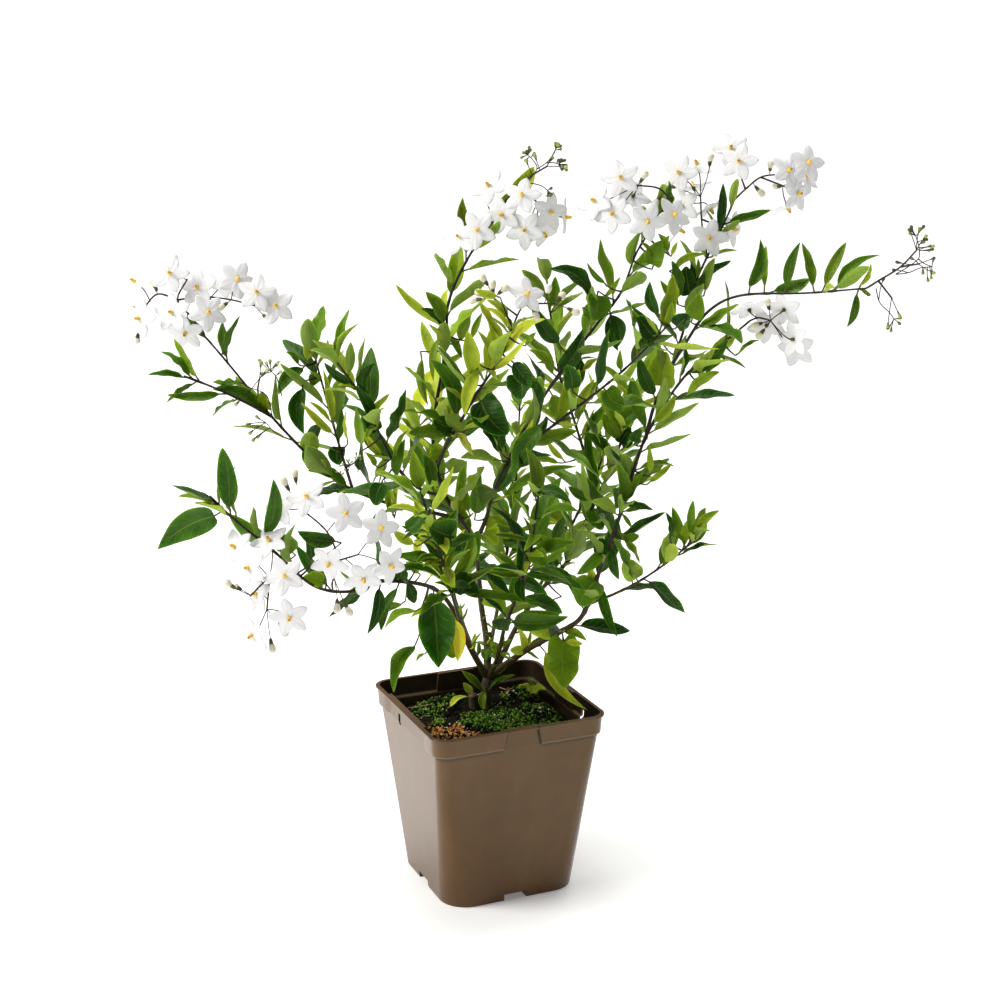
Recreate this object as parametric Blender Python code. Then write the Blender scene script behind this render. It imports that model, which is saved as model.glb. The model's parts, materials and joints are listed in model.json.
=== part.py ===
"""Potato vine in its square nursery pot.

The sizes below are in millimetres and the meshes in metres, +Z up. The origin is the centre of the
pot's flat underside, +X runs along the pot's front wall and -Y is its front. The plant is described
by across, away and up, as seen from nearly the pot's front left corner, and turned() turns it from
there to the pot's own axes.
"""

import math
import random

import bmesh
import bpy
import numpy as np
from mathutils.bvhtree import BVHTree

MM = 0.001
GAP = 0.3  # air between two pieces that touch
UP = np.array([0.0, 0.0, 1.0])

# Pot
RIM_SIDE = 130.0
POT_HEIGHT = 133.7
BASE_SIDE = 99.9
WALL = 1.6
FLOOR = 1.8
BASE_CORNER = 20.0
TOP_CORNER = 9.0
CORNER_STEPS = 3
BAND_Z = 119.2  # underside of the band
BAND_OUT = 2.0  # the band stands this far out of the wall
LIP_TALL = 2.0
WALL_TOP_SIDE = 122.0  # outer side of the wall where the band starts
BAND_TOP_SIDE = 127.4
BREAK_WIDE = (25.0, 29.0)  # gap in the band, below and above
SLOT_WIDE, SLOT_TALL = 3.9, 8.0
NOTCH_WIDE, NOTCH_TALL, NOTCH_DEEP = 17.0, 5.0, 9.0
DRAIN_WIDE, DRAIN_TALL = 9.0, 2.6

# Soil: (across, away, height, spread) of its mounds
SOIL_Z = 114.0
MOUNDS = (
    (10, -34, 8.0, 22), (34, -6, 6.5, 16), (-22, -14, 4.0, 20), (-30, 34, 3.0, 18), (30, 36, 3.5, 18),
)

# Plant
PHOTO_TURN = math.radians(23.24)  # from the pot's front wall to the plant's across direction
STEM_STEP, STUB_STEP, BASE_STEP = 28.0, 12.0, 18.0  # between a tube's rings
STEM_SIDES, BASE_SIDES = 4, 6
GOLDEN = math.radians(137.5)
SPRAY_SEED, LEAF_SEED = 12, 11
SPRAY_TRIES, BUD_TRIES, REACH_TRIES, LEAF_TRIES = 12, 8, 5, 14
TRY_TURN, TRY_SHRINK = math.radians(24), 0.03  # a leaf's next try is turned and shortened this much
LEAF_THICK = 0.7
PETIOLE_R = 0.62
PETIOLE_END, LEAF_WIDEST, LEAF_UPPER = 0.16, 0.42, 0.75
LEAF_SLIM = 0.35  # width over length
LEAF_NARROWS = 0.62  # width at the upper station over the widest
BROAD_LEAF = 15.5  # a narrower one runs straight from its widest to its tip
CLEAR = 0.45  # air kept round a leaf or a flower
SHORTEST_EDGE = 0.45  # a shorter one, where pieces are fused, is collapsed
FLOWER_R = 13.0
FLOWER_NOTCH = 0.5
PETAL_THICK = 0.7
PETAL_LIFT = -0.7  # of a petal's tip; every other tip has twice that
CONE_R, CONE_TALL = 1.7, 5.0
BUD_R, BUD_LONG = 1.9, 7.5
STALK_R, PEDICEL_R = 0.85, 0.6
NECK = 5.0  # a flower's neck runs straight back this far
SIDE_STUB, SIDE_STUB_R = 5.0, 0.9  # what a stem holds of a spray that leaves it sideways
JOINT_STEP = 6.0  # between the joints of a stalk that pedicels start from
SHORTEST_PEDICEL = 6.0
STRAIGHT = 0.75  # a flower that looks this nearly away from its joint has a straight pedicel

# The woody base, from its foot in the soil to the fork
BASE_ROUTE = ((-10, 26, 70), (-10, 26, 96), (-10, 26, 118), (-7, 27, 128), (0, 28, 141))
BASE_R = (3.4, 2.8)

# Each leafy stem: what it grows from, its route, its radius at both ends, how much of it carries no
# leaves, how many leaves and their usual length. reach lists single leaves as (foot, tip, width).
CANES = {
    "cane_low_left": dict(
        grows_from="woody_base", stub=24,
        route=((0, 28, 138), (-13, 15, 167), (-20, 5, 189), (-30, -10, 212), (-43, -30, 227), (-70, -60, 239),
               (-90, -80, 238), (-112, -95, 247), (-134, -108, 273), (-156, -116, 295), (-172, -120, 313)),
        radius=(2.3, 1.0), bare=0.3, leaves=11, leaf=42,
        reach=(((-41, -24, 214), (-33, -50, 176), 24), ((-23, 2, 196), (-21, -16, 168), 9),
               ((-43, -30, 222), (-64, -62, 172), 12), ((-172, -120, 310), (-207, -132, 281), 17),
               ((-157, -117, 301), (-162, -126, 344), 11), ((-139, -111, 280), (-132, -120, 324), 12),
               ((-117, -98, 255), (-135, -112, 287), 9), ((-70, -60, 239), (-79, -80, 209), 12),
               ((-58, -48, 234), (-71, -66, 207), 11)),
    ),
    "cane_centre": dict(
        grows_from="woody_base", stub=20,
        route=((0, 28, 139), (-1, 38, 163), (-5, 45, 190), (-9, 32, 238), (-20, 15, 263), (-30, 6, 282),
               (-36, 8, 306), (-37, 12, 330), (-28, 10, 386), (-26, 4, 415), (-14, -5, 444), (4, -10, 472),
               (13, -12, 486)),
        radius=(2.6, 1.0), bare=0.2, leaves=26, leaf=52, reach=(),
    ),
    "cane_right_main": dict(
        grows_from="woody_base", stub=20,
        route=((0, 28, 138), (14, 26, 150), (30, 14, 166), (51, 0, 183), (66, -10, 198), (76, -20, 230),
               (89, -30, 273), (97, -32, 303), (108, -32, 335), (130, -30, 370), (154, -26, 391),
               (174, -25, 408)),
        radius=(2.4, 1.0), bare=0.12, leaves=20, leaf=48,
        reach=(((48, 2, 182), (52, -24, 150), 21), ((37, 10, 170), (70, -30, 142), 13),
               ((76, -20, 229), (101, -34, 196), 11), ((101, -32, 308), (124, -36, 316), 8),
               ((91, -31, 284), (111, -38, 285), 8)),
    ),
    "cane_mid_right": dict(
        grows_from="woody_base", stub=26,
        route=((0, 28, 138), (10, 40, 150), (22, 50, 172), (40, 58, 197), (62, 60, 222), (72, 58, 250),
               (90, 50, 294), (102, 42, 334), (108, 40, 356)),
        radius=(2.3, 1.0), bare=0.18, leaves=20, leaf=50, reach=(),
    ),
    "cane_back_centre": dict(
        grows_from="woody_base", stub=24,
        route=((0, 28, 139), (2, 48, 156), (10, 88, 190), (20, 122, 250), (24, 140, 318)),
        radius=(2.0, 1.0), bare=0.2, leaves=14, leaf=50, reach=(),
    ),
    "cane_back_left": dict(
        grows_from="woody_base", stub=24,
        route=((0, 28, 138), (-12, 46, 156), (-28, 84, 192), (-44, 116, 252), (-54, 132, 312)),
        radius=(2.0, 1.0), bare=0.2, leaves=14, leaf=50, reach=(),
    ),
    "cane_front": dict(
        grows_from="woody_base", stub=22,
        route=((0, 28, 138), (7, 10, 160), (12, -12, 190), (21, -38, 224), (29, -68, 262), (34, -94, 312)),
        radius=(2.0, 1.0), bare=0.2, leaves=14, leaf=48,
        reach=(((13, -15, 194), (52, -42, 212), 16),),
    ),
    "cane_front_left": dict(
        grows_from="cane_low_left", stub=8,
        route=((-19, 6, 187), (-24, -34, 222), (-31, -70, 263), (-42, -98, 312)),
        radius=(1.5, 1.0), bare=0.2, leaves=12, leaf=48,
        reach=(((-24, -36, 224), (36, -66, 230), 13),),
    ),
    "cane_left_long": dict(
        grows_from="cane_centre", stub=8,
        route=((-19, 16, 261), (-40, 2, 270), (-67, -6, 278), (-94, -10, 290), (-113, -13, 305),
               (-145, -18, 342), (-170, -22, 376), (-190, -25, 402)),
        radius=(1.7, 0.9), bare=0.1, leaves=11, leaf=44,
        reach=(((-176, -23, 384), (-167, -28, 411), 9), ((-168, -22, 372), (-186, -32, 392), 10),
               ((-127, -15, 322), (-150, -28, 343), 13)),
    ),
    "cane_left_mid": dict(
        grows_from="cane_centre", stub=8,
        route=((-29, 7, 279), (-46, -18, 292), (-60, -38, 312), (-70, -54, 338), (-80, -64, 364),
               (-98, -70, 392)),
        radius=(1.5, 0.9), bare=0.1, leaves=13, leaf=46,
        reach=(((-97, -70, 390), (-89, -74, 422), 9),),
    ),
    "cane_left_back": dict(
        grows_from="cane_left_long", stub=8,
        route=((-92, -10, 289), (-102, 10, 314), (-112, 24, 346), (-122, 32, 382)),
        radius=(1.3, 0.9), bare=0.12, leaves=8, leaf=46, reach=(),
    ),
    "cane_left_shoot": dict(
        grows_from="cane_left_long", stub=8,
        route=((-145, -18, 342), (-160, -38, 356), (-178, -50, 368), (-196, -57, 377)),
        radius=(1.2, 0.9), bare=0.1, leaves=2, leaf=38,
        reach=(((-193, -56, 376), (-218, -64, 380), 8), ((-190, -55, 375), (-207, -60, 395), 8),
               ((-188, -54, 373), (-207, -64, 362), 8)),
    ),
    "cane_mid_up": dict(
        grows_from="cane_centre", stub=8,
        route=((-35, 8, 300), (-27, -12, 322), (-17, -30, 342), (-6, -42, 363), (8, -50, 386),
               (17, -53, 408)),
        radius=(1.5, 0.9), bare=0.1, leaves=13, leaf=48, reach=(),
    ),
    "cane_right_diag": dict(
        grows_from="cane_centre", stub=8,
        route=((-9, 32, 238), (-1, 18, 261), (4, 0, 283), (14, -18, 310), (26, -33, 325), (48, -50, 346),
               (86, -72, 382), (114, -88, 415)),
        radius=(1.8, 0.9), bare=0.12, leaves=17, leaf=52, reach=(),
    ),
    "cane_tall_mid": dict(
        grows_from="cane_right_diag", stub=8,
        route=((13, -17, 308), (24, -6, 328), (35, -3, 347), (53, -3, 374), (73, -4, 401), (90, -8, 425),
               (100, -12, 453), (118, -18, 481)),
        radius=(1.5, 0.9), bare=0.1, leaves=15, leaf=46, reach=(),
    ),
    "cane_right_low": dict(
        grows_from="cane_right_main", stub=8,
        route=((70, -14, 208), (88, -27, 220), (104, -39, 233), (122, -50, 250), (138, -58, 267)),
        radius=(1.3, 0.9), bare=0.15, leaves=7, leaf=38,
        reach=(((132, -55, 261), (124, -52, 288), 9), ((136, -57, 265), (136, -62, 294), 9),
               ((137, -57.5, 266), (151, -60, 288), 9)),
    ),
    "cane_right_top": dict(
        grows_from="cane_right_main", stub=8,
        route=((106, -32, 330), (113, -14, 349), (124, 4, 368), (134, 15, 394), (143, 20, 429),
               (158, 20, 462), (167, 20, 483)),
        radius=(1.5, 0.9), bare=0.1, leaves=9, leaf=40,
        reach=(((159, 20, 466), (190, 14, 479), 9), ((157, 20, 460), (158, 10, 492), 9),
               ((142, 20, 427), (164, 14, 444), 9)),
    ),
    "cane_right_long": dict(
        grows_from="cane_right_top", stub=8,
        route=((124, 5, 369), (133, -13, 391), (146, -29, 415), (166, -40, 427), (205, -58, 431),
               (240, -72, 436)),
        radius=(1.4, 0.8), bare=0.1, leaves=3, leaf=38,
        reach=(((170, -42, 427), (175, -46, 463), 12), ((180, -46, 428), (177, -38, 466), 8),
               ((192, -52, 429), (199, -57, 463), 10), ((210, -60, 431), (202, -54, 463), 10),
               ((214, -61, 432), (225, -67, 464), 10), ((220, -64, 433), (243, -72, 460), 10),
               ((231, -68, 435), (252, -78, 447), 8), ((236, -70, 435), (228, -76, 413), 7),
               ((196, -54, 430), (222, -72, 430), 9)),
    ),
    "cane_mid_top": dict(
        grows_from="cane_mid_right", stub=8,
        route=((77, 56, 263), (72, 63, 290), (60, 69, 328), (52, 73, 352), (45, 76, 396), (42, 74, 424)),
        radius=(1.4, 0.9), bare=0.1, leaves=13, leaf=50, reach=(),
    ),
    "cane_back_right": dict(
        grows_from="cane_mid_right", stub=8,
        route=((30, 54, 184), (46, 84, 206), (66, 112, 236), (86, 130, 276), (98, 140, 326)),
        radius=(1.6, 1.0), bare=0.15, leaves=13, leaf=50, reach=(),
    ),
}

# Each flower spray: the stem it ends, or leaves sideways at a foot on it, its stalk, how deep it
# lies and the places of its open flowers and buds as (across, up). faces is where they look.
SPRAYS = {
    "spray_upper_left": dict(
        grows_from="cane_left_long", foot=None, depth=-27, faces=(-0.1, -0.9, 0.3),
        stalk=((-194, -26, 410), (-203, -27, 422), (-196, -27, 436)),
        arms=(((-203, -27, 422), (-216, -28, 426), (-226, -28, 416)),
              ((-203, -27, 422), (-188, -25, 424), (-168, -26, 422), (-152, -27, 418))),
        flowers=((-199, 400), (-206, 415), (-190, 430), (-176, 430), (-207, 440), (-232, 433), (-150, 428),
                 (-138, 419), (-228, 411), (-182, 415), (-163, 436)),
        buds=((-238, 416), (-233, 392), (-226, 387), (-203, 384), (-171, 420), (-141, 408), (-219, 432)),
    ),
    "spray_low_left_near": dict(
        grows_from="cane_low_left", foot=(-100, -87, 241), depth=-116, faces=(0.2, -0.95, 0.2),
        stalk=((-99, -98, 250), (-94, -110, 268), (-100, -114, 288), (-116, -116, 304)),
        arms=(((-94, -110, 268), (-80, -116, 274)),),
        flowers=((-112, 312), (-130, 302), (-87, 303), (-66, 291), (-99, 268), (-60, 268), (-78, 256)),
        buds=((-128, 323), (-121, 326), (-86, 231), (-95, 235)),
    ),
    "spray_low_left_far": dict(
        grows_from="cane_low_left", foot=(-118, -98, 252), depth=-128, faces=(-0.3, -0.9, 0.1),
        stalk=((-124, -108, 256), (-136, -122, 260), (-148, -128, 250)),
        arms=(((-136, -122, 260), (-138, -126, 240)),),
        flowers=((-125, 266), (-148, 270), (-145, 249), (-158, 280), (-147, 226), (-123, 238), (-136, 284)),
        buds=((-126, 222), (-134, 214), (-164, 260), (-160, 254)),
    ),
    "spray_top_middle": dict(
        grows_from="cane_centre", foot=None, depth=-14, faces=(0.1, -0.9, 0.3),
        stalk=((20, -13, 494), (30, -14, 502), (40, -14, 508)),
        arms=(((20, -13, 494), (14, -14, 482), (0, -14, 474)), ((20, -13, 494), (34, -14, 484))),
        flowers=((1, 495), (23, 490), (10, 477), (25, 467), (42, 478), (53, 472), (-18, 463), (-6, 468),
                 (38, 463)),
        buds=((31, 516), (42, 511), (47, 523), (53, 507), (26, 512), (54, 460)),
    ),
    "spray_middle": dict(
        grows_from="cane_mid_up", foot=None, depth=-56, faces=(0.1, -0.9, 0.3),
        stalk=((20, -55, 416), (24, -56, 424)),
        arms=(((20, -55, 416), (4, -56, 428)), ((24, -56, 424), (44, -56, 424))),
        flowers=((26, 430),),
        buds=((40, 437), (32, 417), (60, 417), (-11, 425), (4, 440), (-4, 443), (-7, 431), (47, 427),
              (14, 436)),
    ),
    "spray_top_right": dict(
        grows_from="cane_tall_mid", foot=None, depth=-20, faces=(0.1, -0.9, 0.3),
        stalk=((119, -18, 487), (112, -19, 494), (98, -20, 496)),
        arms=(((119, -18, 487), (122, -20, 478)),),
        flowers=((70, 486), (96, 488), (87, 501), (82, 478), (122, 477), (128, 466), (104, 474)),
        buds=((77, 494), (101, 500), (110, 484)),
    ),
    "spray_top_right_high": dict(
        grows_from="cane_right_top", foot=(150, 20, 445), depth=22, faces=(-0.1, -0.9, 0.3),
        stalk=((147, 19, 456), (145, 20, 470), (144, 21, 486)),
        arms=(((145, 20, 470), (155, 22, 466)),),
        flowers=((129, 501), (142, 506), (141, 490), (152, 476), (150, 458), (168, 462), (132, 479)),
        buds=((121, 492), (150, 514)),
    ),
    "spray_right": dict(
        grows_from="cane_right_top", foot=None, depth=20, faces=(0.2, -0.9, 0.3),
        stalk=((174, 20, 490), (184, 20, 498), (196, 20, 500)),
        arms=(((174, 20, 490), (170, 20, 500)), ((184, 20, 498), (200, 20, 492))),
        flowers=((164, 521), (168, 509), (216, 498), (210, 487), (206, 476), (214, 508), (201, 503)),
        buds=((224, 510), (206, 514), (197, 492), (184, 489), (190, 506)),
    ),
    "spray_right_lower": dict(
        grows_from="cane_right_main", foot=None, depth=-26, faces=(0.3, 0.85, 0.3),
        stalk=((180, -25, 410), (188, -26, 408)),
        arms=(),
        flowers=((197, 415), (202, 397), (186, 404), (207, 388), (172, 417)),
        buds=((179, 396), (184, 423), (174, 404)),
    ),
    "spray_far_right": dict(
        grows_from="cane_right_long", foot=None, depth=-76, faces=(0.1, -0.9, 0.3),
        stalk=((247, -74, 441), (260, -76, 450), (270, -76, 461)),
        arms=(((247, -74, 441), (256, -76, 430)), ((260, -76, 450), (272, -76, 452))),
        flowers=(),
        buds=((264, 474), (271, 475), (279, 463), (282, 456), (284, 446), (276, 470), (253, 412), (262, 418),
              (270, 453)),
    ),
    "spray_left_buds": dict(
        grows_from="cane_left_long", foot=(-152, -19, 352), depth=-26, faces=(0.1, -0.9, 0.3),
        stalk=((-153, -22, 362), (-151, -25, 370)),
        arms=(),
        flowers=(),
        buds=((-150, 381), (-146, 375), (-139, 379), (-168, 352), (-160, 344)),
    ),
}

COLOURS = {
    "pot": (0.16, 0.105, 0.07), "soil": (0.02, 0.016, 0.012), "wood": (0.09, 0.055, 0.035),
    "leafy": (0.09, 0.22, 0.03), "spray": (0.85, 0.86, 0.82),
}
ROUGHNESS = {"pot": 0.42, "soil": 0.95, "wood": 0.7, "leafy": 0.45, "spray": 0.5}


def unit(vector):
    return vector / np.linalg.norm(vector)


def turned(points):
    """From the plant's across, away and up to the pot's own axes."""
    across, away, up = np.asarray(points, float).T
    cos, sin = math.cos(PHOTO_TURN), math.sin(PHOTO_TURN)
    return np.stack([across * cos + away * sin, away * cos - across * sin, up], -1)


def material(name, kind):
    made = bpy.data.materials.new(name)
    made.use_nodes = True
    shader = made.node_tree.nodes["Principled BSDF"]
    shader.inputs["Base Color"].default_value = (*COLOURS[kind], 1)
    shader.inputs["Roughness"].default_value = ROUGHNESS[kind]
    shader.inputs["Metallic"].default_value = 0
    made.diffuse_color = (*COLOURS[kind], 1)
    return made


def mesh_object(name, shape, collection=None):
    """An object of a shape: its points in millimetres and its faces."""
    points, faces = shape
    mesh = bpy.data.meshes.new(name)
    mesh.from_pydata((np.asarray(points) * MM).tolist(), [], faces)
    made = bpy.data.objects.new(name, mesh)
    (collection or bpy.context.scene.collection).objects.link(made)
    return made


def bodies_of(built):
    """The connected groups of faces of a bmesh."""
    left = set(built.faces)
    while left:
        group, edge_of = set(), [left.pop()]
        while edge_of:
            face = edge_of.pop()
            group.add(face)
            for edge in face.edges:
                for other in edge.link_faces:
                    if other in left:
                        left.remove(other)
                        edge_of.append(other)
        yield group


def volume_of(group):
    total = 0.0
    for face in group:
        first, *rest = [corner.vert.co for corner in face.loops]
        for second, third in zip(rest, rest[1:]):
            total += first.dot(second.cross(third)) / 6
    return total


def keep_main_body(mesh, rounds=0):
    """Leaves out loose scraps, fills the hollows that fusing sealed and collapses its short edges."""
    built = bmesh.new()
    built.from_mesh(mesh)
    groups = sorted(bodies_of(built), key=volume_of)
    extra = [face for group in groups[:-1] for face in group]
    bmesh.ops.delete(built, geom=extra, context="FACES")
    loose = [vert for vert in built.verts if not vert.link_faces]
    bmesh.ops.delete(built, geom=loose, context="VERTS")
    bmesh.ops.triangulate(built, faces=built.faces[:])
    for _ in range(rounds):
        collapse_short(built, SHORTEST_EDGE * MM)
    built.to_mesh(mesh)
    built.free()


def turns_over(vert, other, target):
    """Whether moving a corner to the target would turn one of its faces round."""
    for face in vert.link_faces:
        if other in face.verts:
            continue
        before = [corner.co for corner in face.verts]
        after = [target if corner is vert else corner.co for corner in face.verts]
        old = (before[1] - before[0]).cross(before[2] - before[0])
        new = (after[1] - after[0]).cross(after[2] - after[0])
        if new.dot(old) <= 0.2 * new.length * old.length:
            return True
    return False


def collapse_short(built, shortest):
    """Collapses the edges shorter than this, one by one, where the surface stays closed and uncreased."""
    for edge in sorted(built.edges, key=lambda found: found.calc_length()):
        if not edge.is_valid or edge.calc_length() > shortest:
            continue
        first, second = edge.verts
        rounds = [{link.other_vert(end) for link in end.link_edges} for end in (first, second)]
        target = (first.co + second.co) / 2
        if len(rounds[0] & rounds[1]) != 2 or len(rounds[0]) < 4 or len(rounds[1]) < 4:
            continue
        if turns_over(first, second, target) or turns_over(second, first, target):
            continue
        bmesh.ops.pointmerge(built, verts=[first, second], merge_co=target)


def applied(made):
    """Puts the evaluated mesh in place of the object's own and drops its modifiers."""
    graph = bpy.context.evaluated_depsgraph_get()
    mesh = bpy.data.meshes.new_from_object(made.evaluated_get(graph))
    made.modifiers.clear()
    old, made.data = made.data, mesh
    bpy.data.meshes.remove(old)


def boolean(made, shapes, operation):
    """Unites the shapes with the object, or cuts them from it, and removes them."""
    hold = bpy.data.collections.new(made.name + "_shapes")
    bpy.context.scene.collection.children.link(hold)
    for shape in shapes:
        mesh_object(made.name + "_shape", shape, hold)
    change = made.modifiers.new("boolean", "BOOLEAN")
    change.operation = operation
    change.operand_type = "COLLECTION"
    change.collection = hold
    applied(made)
    for other in list(hold.objects):
        bpy.data.objects.remove(other)
    bpy.data.collections.remove(hold)


def fused(name, shapes, kind):
    made = mesh_object(name, shapes[0])
    if len(shapes) > 1:
        boolean(made, shapes[1:], "UNION")
    keep_main_body(made.data, 2)
    made.data.materials.clear()
    made.data.materials.append(material(name, kind))
    return made


def lofted(rings):
    """A closed shape through rings of equal count, listed upwards, with flat ends."""
    count = len(rings[0])
    faces = [list(range(count))[::-1], list(range(len(rings) * count - count, len(rings) * count))]
    for low in range(0, (len(rings) - 1) * count, count):
        for j in range(count):
            k = (j + 1) % count
            faces.append([low + j, low + k, low + count + k, low + count + j])
    return np.concatenate(rings), faces


def square_ring(side, corner, z):
    """A rounded square at height z, counterclockwise."""
    middle = side / 2 - corner
    turns = np.linspace(0, math.pi / 2, CORNER_STEPS + 1)
    points = []
    for quarter, (right, back) in enumerate(((1, 1), (-1, 1), (-1, -1), (1, -1))):
        angle = turns + quarter * math.pi / 2
        x = right * middle + corner * np.cos(angle)
        y = back * middle + corner * np.sin(angle)
        points.append(np.stack([x, y, np.full(len(angle), z)], -1))
    return np.concatenate(points)


def block(wide_low, wide_high, near, far, low, high, quarter):
    """A block on the pot's front wall, from depth near to far, turned to another wall by quarters."""
    points = []
    for z, wide in ((low, wide_low), (high, wide_high)):
        points += [(-wide / 2, -far, z), (wide / 2, -far, z), (wide / 2, -near, z), (-wide / 2, -near, z)]
    x, y, z = np.array(points, float).T
    for _ in range(quarter):
        x, y = -y, x
    return lofted(np.split(np.stack([x, y, z], -1), 2))


def wall_side(z):
    """Outer side of the plain wall at height z."""
    return BASE_SIDE + (WALL_TOP_SIDE - BASE_SIDE) * z / BAND_Z


def inner_side(z):
    return wall_side(z) - 2 * WALL


def inner_corner(z):
    return BASE_CORNER + (TOP_CORNER - BASE_CORNER) * z / BAND_Z - WALL


def pot_outside():
    lip_z = POT_HEIGHT - LIP_TALL
    band_side = WALL_TOP_SIDE + 2 * BAND_OUT
    return lofted([
        square_ring(BASE_SIDE - 1.4, BASE_CORNER - 0.7, 0.0),
        square_ring(BASE_SIDE, BASE_CORNER, 1.0),
        square_ring(WALL_TOP_SIDE, TOP_CORNER, BAND_Z),
        square_ring(band_side, TOP_CORNER + BAND_OUT, BAND_Z + 0.4),
        square_ring(BAND_TOP_SIDE, TOP_CORNER + BAND_OUT, lip_z),
        square_ring(RIM_SIDE, TOP_CORNER + BAND_OUT + 1, lip_z + 0.5),
        square_ring(RIM_SIDE, TOP_CORNER + BAND_OUT + 1, POT_HEIGHT - 0.5),
        square_ring(RIM_SIDE - 1.2, TOP_CORNER + BAND_OUT + 0.4, POT_HEIGHT),
    ])


def pot_inside():
    band_side = WALL_TOP_SIDE + 2 * BAND_OUT - 2 * WALL
    top_corner = TOP_CORNER + BAND_OUT - WALL
    return lofted([
        square_ring(inner_side(FLOOR), inner_corner(FLOOR), FLOOR),
        square_ring(inner_side(BAND_Z), inner_corner(BAND_Z), BAND_Z),
        square_ring(band_side, top_corner, BAND_Z + 2),
        square_ring(BAND_TOP_SIDE - 2 * WALL, top_corner, POT_HEIGHT + 2),
    ])


def hoods(spare):
    """Raised pockets of the floor over the drain notches, made larger all round by spare."""
    wide = NOTCH_WIDE + 2 * WALL + 2 * spare
    near = BASE_SIDE / 2 - NOTCH_DEEP - WALL - spare
    high = NOTCH_TALL + WALL + spare
    return [block(wide, wide, near, BASE_SIDE / 2 + 5, -1, high, quarter) for quarter in range(4)]


def make_pot():
    """A shell with four band gaps, two slots under the lip and a drain notch in each lower edge."""
    lip_z = POT_HEIGHT - LIP_TALL
    low, high = BREAK_WIDE
    plain = wall_side(BAND_Z) / 2 + 0.4
    far = RIM_SIDE
    notch_near = BASE_SIDE / 2 - NOTCH_DEEP
    drain_near, drain_low = notch_near - 2 * WALL, FLOOR + 0.4
    backs, cuts = [], []
    for quarter in range(4):
        backs.append(block(low + 4, high + 4, plain - WALL, far, BAND_Z - 3, POT_HEIGHT + 5, quarter))
        cuts.append(block(low, high, plain, far, BAND_Z - 2, lip_z - 0.4, quarter))
        cuts.append(block(NOTCH_WIDE, NOTCH_WIDE, notch_near, far, -1, NOTCH_TALL, quarter))
        cuts.append(block(DRAIN_WIDE, DRAIN_WIDE, drain_near, far, drain_low, FLOOR + DRAIN_TALL, quarter))
    slot_z = lip_z - 1.6
    for quarter in (1, 3):
        slot_near = plain - 3 * WALL
        cuts.append(block(SLOT_WIDE, SLOT_WIDE, slot_near, far, slot_z - SLOT_TALL, slot_z, quarter))
    hollow = mesh_object("pot_hollow", pot_inside())
    boolean(hollow, backs + hoods(0), "DIFFERENCE")
    pot = mesh_object("pot", pot_outside())
    change = pot.modifiers.new("hollow", "BOOLEAN")
    change.operation = "DIFFERENCE"
    change.object = hollow
    applied(pot)
    bpy.data.objects.remove(hollow)
    boolean(pot, cuts, "DIFFERENCE")
    keep_main_body(pot.data)
    pot.data.materials.clear()
    pot.data.materials.append(material("pot", "pot"))
    return pot


def soil_height(points):
    """The soil's height at places across and away: a level with low mounds, lower at the walls."""
    height = np.full(len(points), SOIL_Z)
    for across, away, tall, spread in MOUNDS:
        apart = np.hypot(points[:, 0] - across, points[:, 1] - away)
        height += tall * np.exp(-((apart / spread) ** 2))
    return height


def make_soil():
    """The soil fills the pot's inside, and has a plain hole for the foot of the woody base."""
    rings = []
    for z in (FLOOR + GAP, SOIL_Z - 2):
        rings.append(square_ring(inner_side(z) - 2 * GAP, inner_corner(z) - GAP, z))
    edge = rings[-1]
    for share in (0.97, 0.72, 0.48, 0.24):
        ring = edge * (share, share, 1)
        ring[:, 2] = soil_height(ring)
        rings.append(ring)
    shape = lofted(rings)
    soil = mesh_object("soil", shape)
    foot = turned(BASE_ROUTE)[0]
    angles = np.linspace(0, 2 * math.pi, 8, endpoint=False)
    hole = []
    for z in (foot[2] - GAP, SOIL_Z + 30):
        reach = (BASE_R[0] + 2 * GAP) / math.cos(math.pi / 8)
        hole.append(np.stack([foot[0] + reach * np.cos(angles), foot[1] + reach * np.sin(angles),
                              np.full(8, z)], -1))
    boolean(soil, hoods(GAP) + [lofted(hole)], "DIFFERENCE")
    keep_main_body(soil.data)
    soil.data.materials.clear()
    soil.data.materials.append(material("soil", "soil"))
    return soil


class Route:
    """A smooth curve through set points, with its place and direction at a distance along it."""

    def __init__(self, points):
        set_points = turned(points)
        ends = 2 * set_points[:1] - set_points[1:2], 2 * set_points[-1:] - set_points[-2:-1]
        held = np.concatenate([ends[0], set_points, ends[1]])
        t = np.linspace(0, 1, 24, endpoint=False)[:, None]
        spans = []
        for a, b, c, d in zip(held, held[1:], held[2:], held[3:]):
            spans.append(0.5 * (2 * b + (c - a) * t + (2 * a - 5 * b + 4 * c - d) * t**2
                                + (3 * b - 3 * c + d - a) * t**3))
        self.dense = np.concatenate(spans + [set_points[-1:]])
        steps = np.linalg.norm(np.diff(self.dense, axis=0), axis=1)
        self.distance = np.concatenate([[0], np.cumsum(steps)])
        self.length = self.distance[-1]

    def point(self, s):
        return np.stack([np.interp(s, self.distance, self.dense[:, axis]) for axis in range(3)], -1)

    def direction(self, s):
        s = min(max(s, 1.0), self.length - 1.0)
        return unit(self.point(s + 1) - self.point(s - 1))

    def nearest(self, place):
        return self.distance[np.linalg.norm(self.dense - place, axis=1).argmin()]


def tube(route, start, end, radius, sides, step=STEM_STEP):
    """A tube along part of a route. radius gives it at both ends of the whole route."""
    count = max(1, round((end - start) / step))
    rings, side = [], None
    for s in np.linspace(start, end, count + 1):
        along = route.direction(s)
        side = np.cross(along, (0.31, 0.17, 0.94)) if side is None else side
        side = unit(side - along * side.dot(along))
        other = np.cross(along, side)
        angles = np.linspace(0, 2 * math.pi, sides, endpoint=False)[:, None]
        wide = radius[0] + (radius[1] - radius[0]) * s / route.length
        rings.append(route.point(s) + wide * (np.cos(angles) * side + np.sin(angles) * other))
    return lofted(rings)


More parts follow.
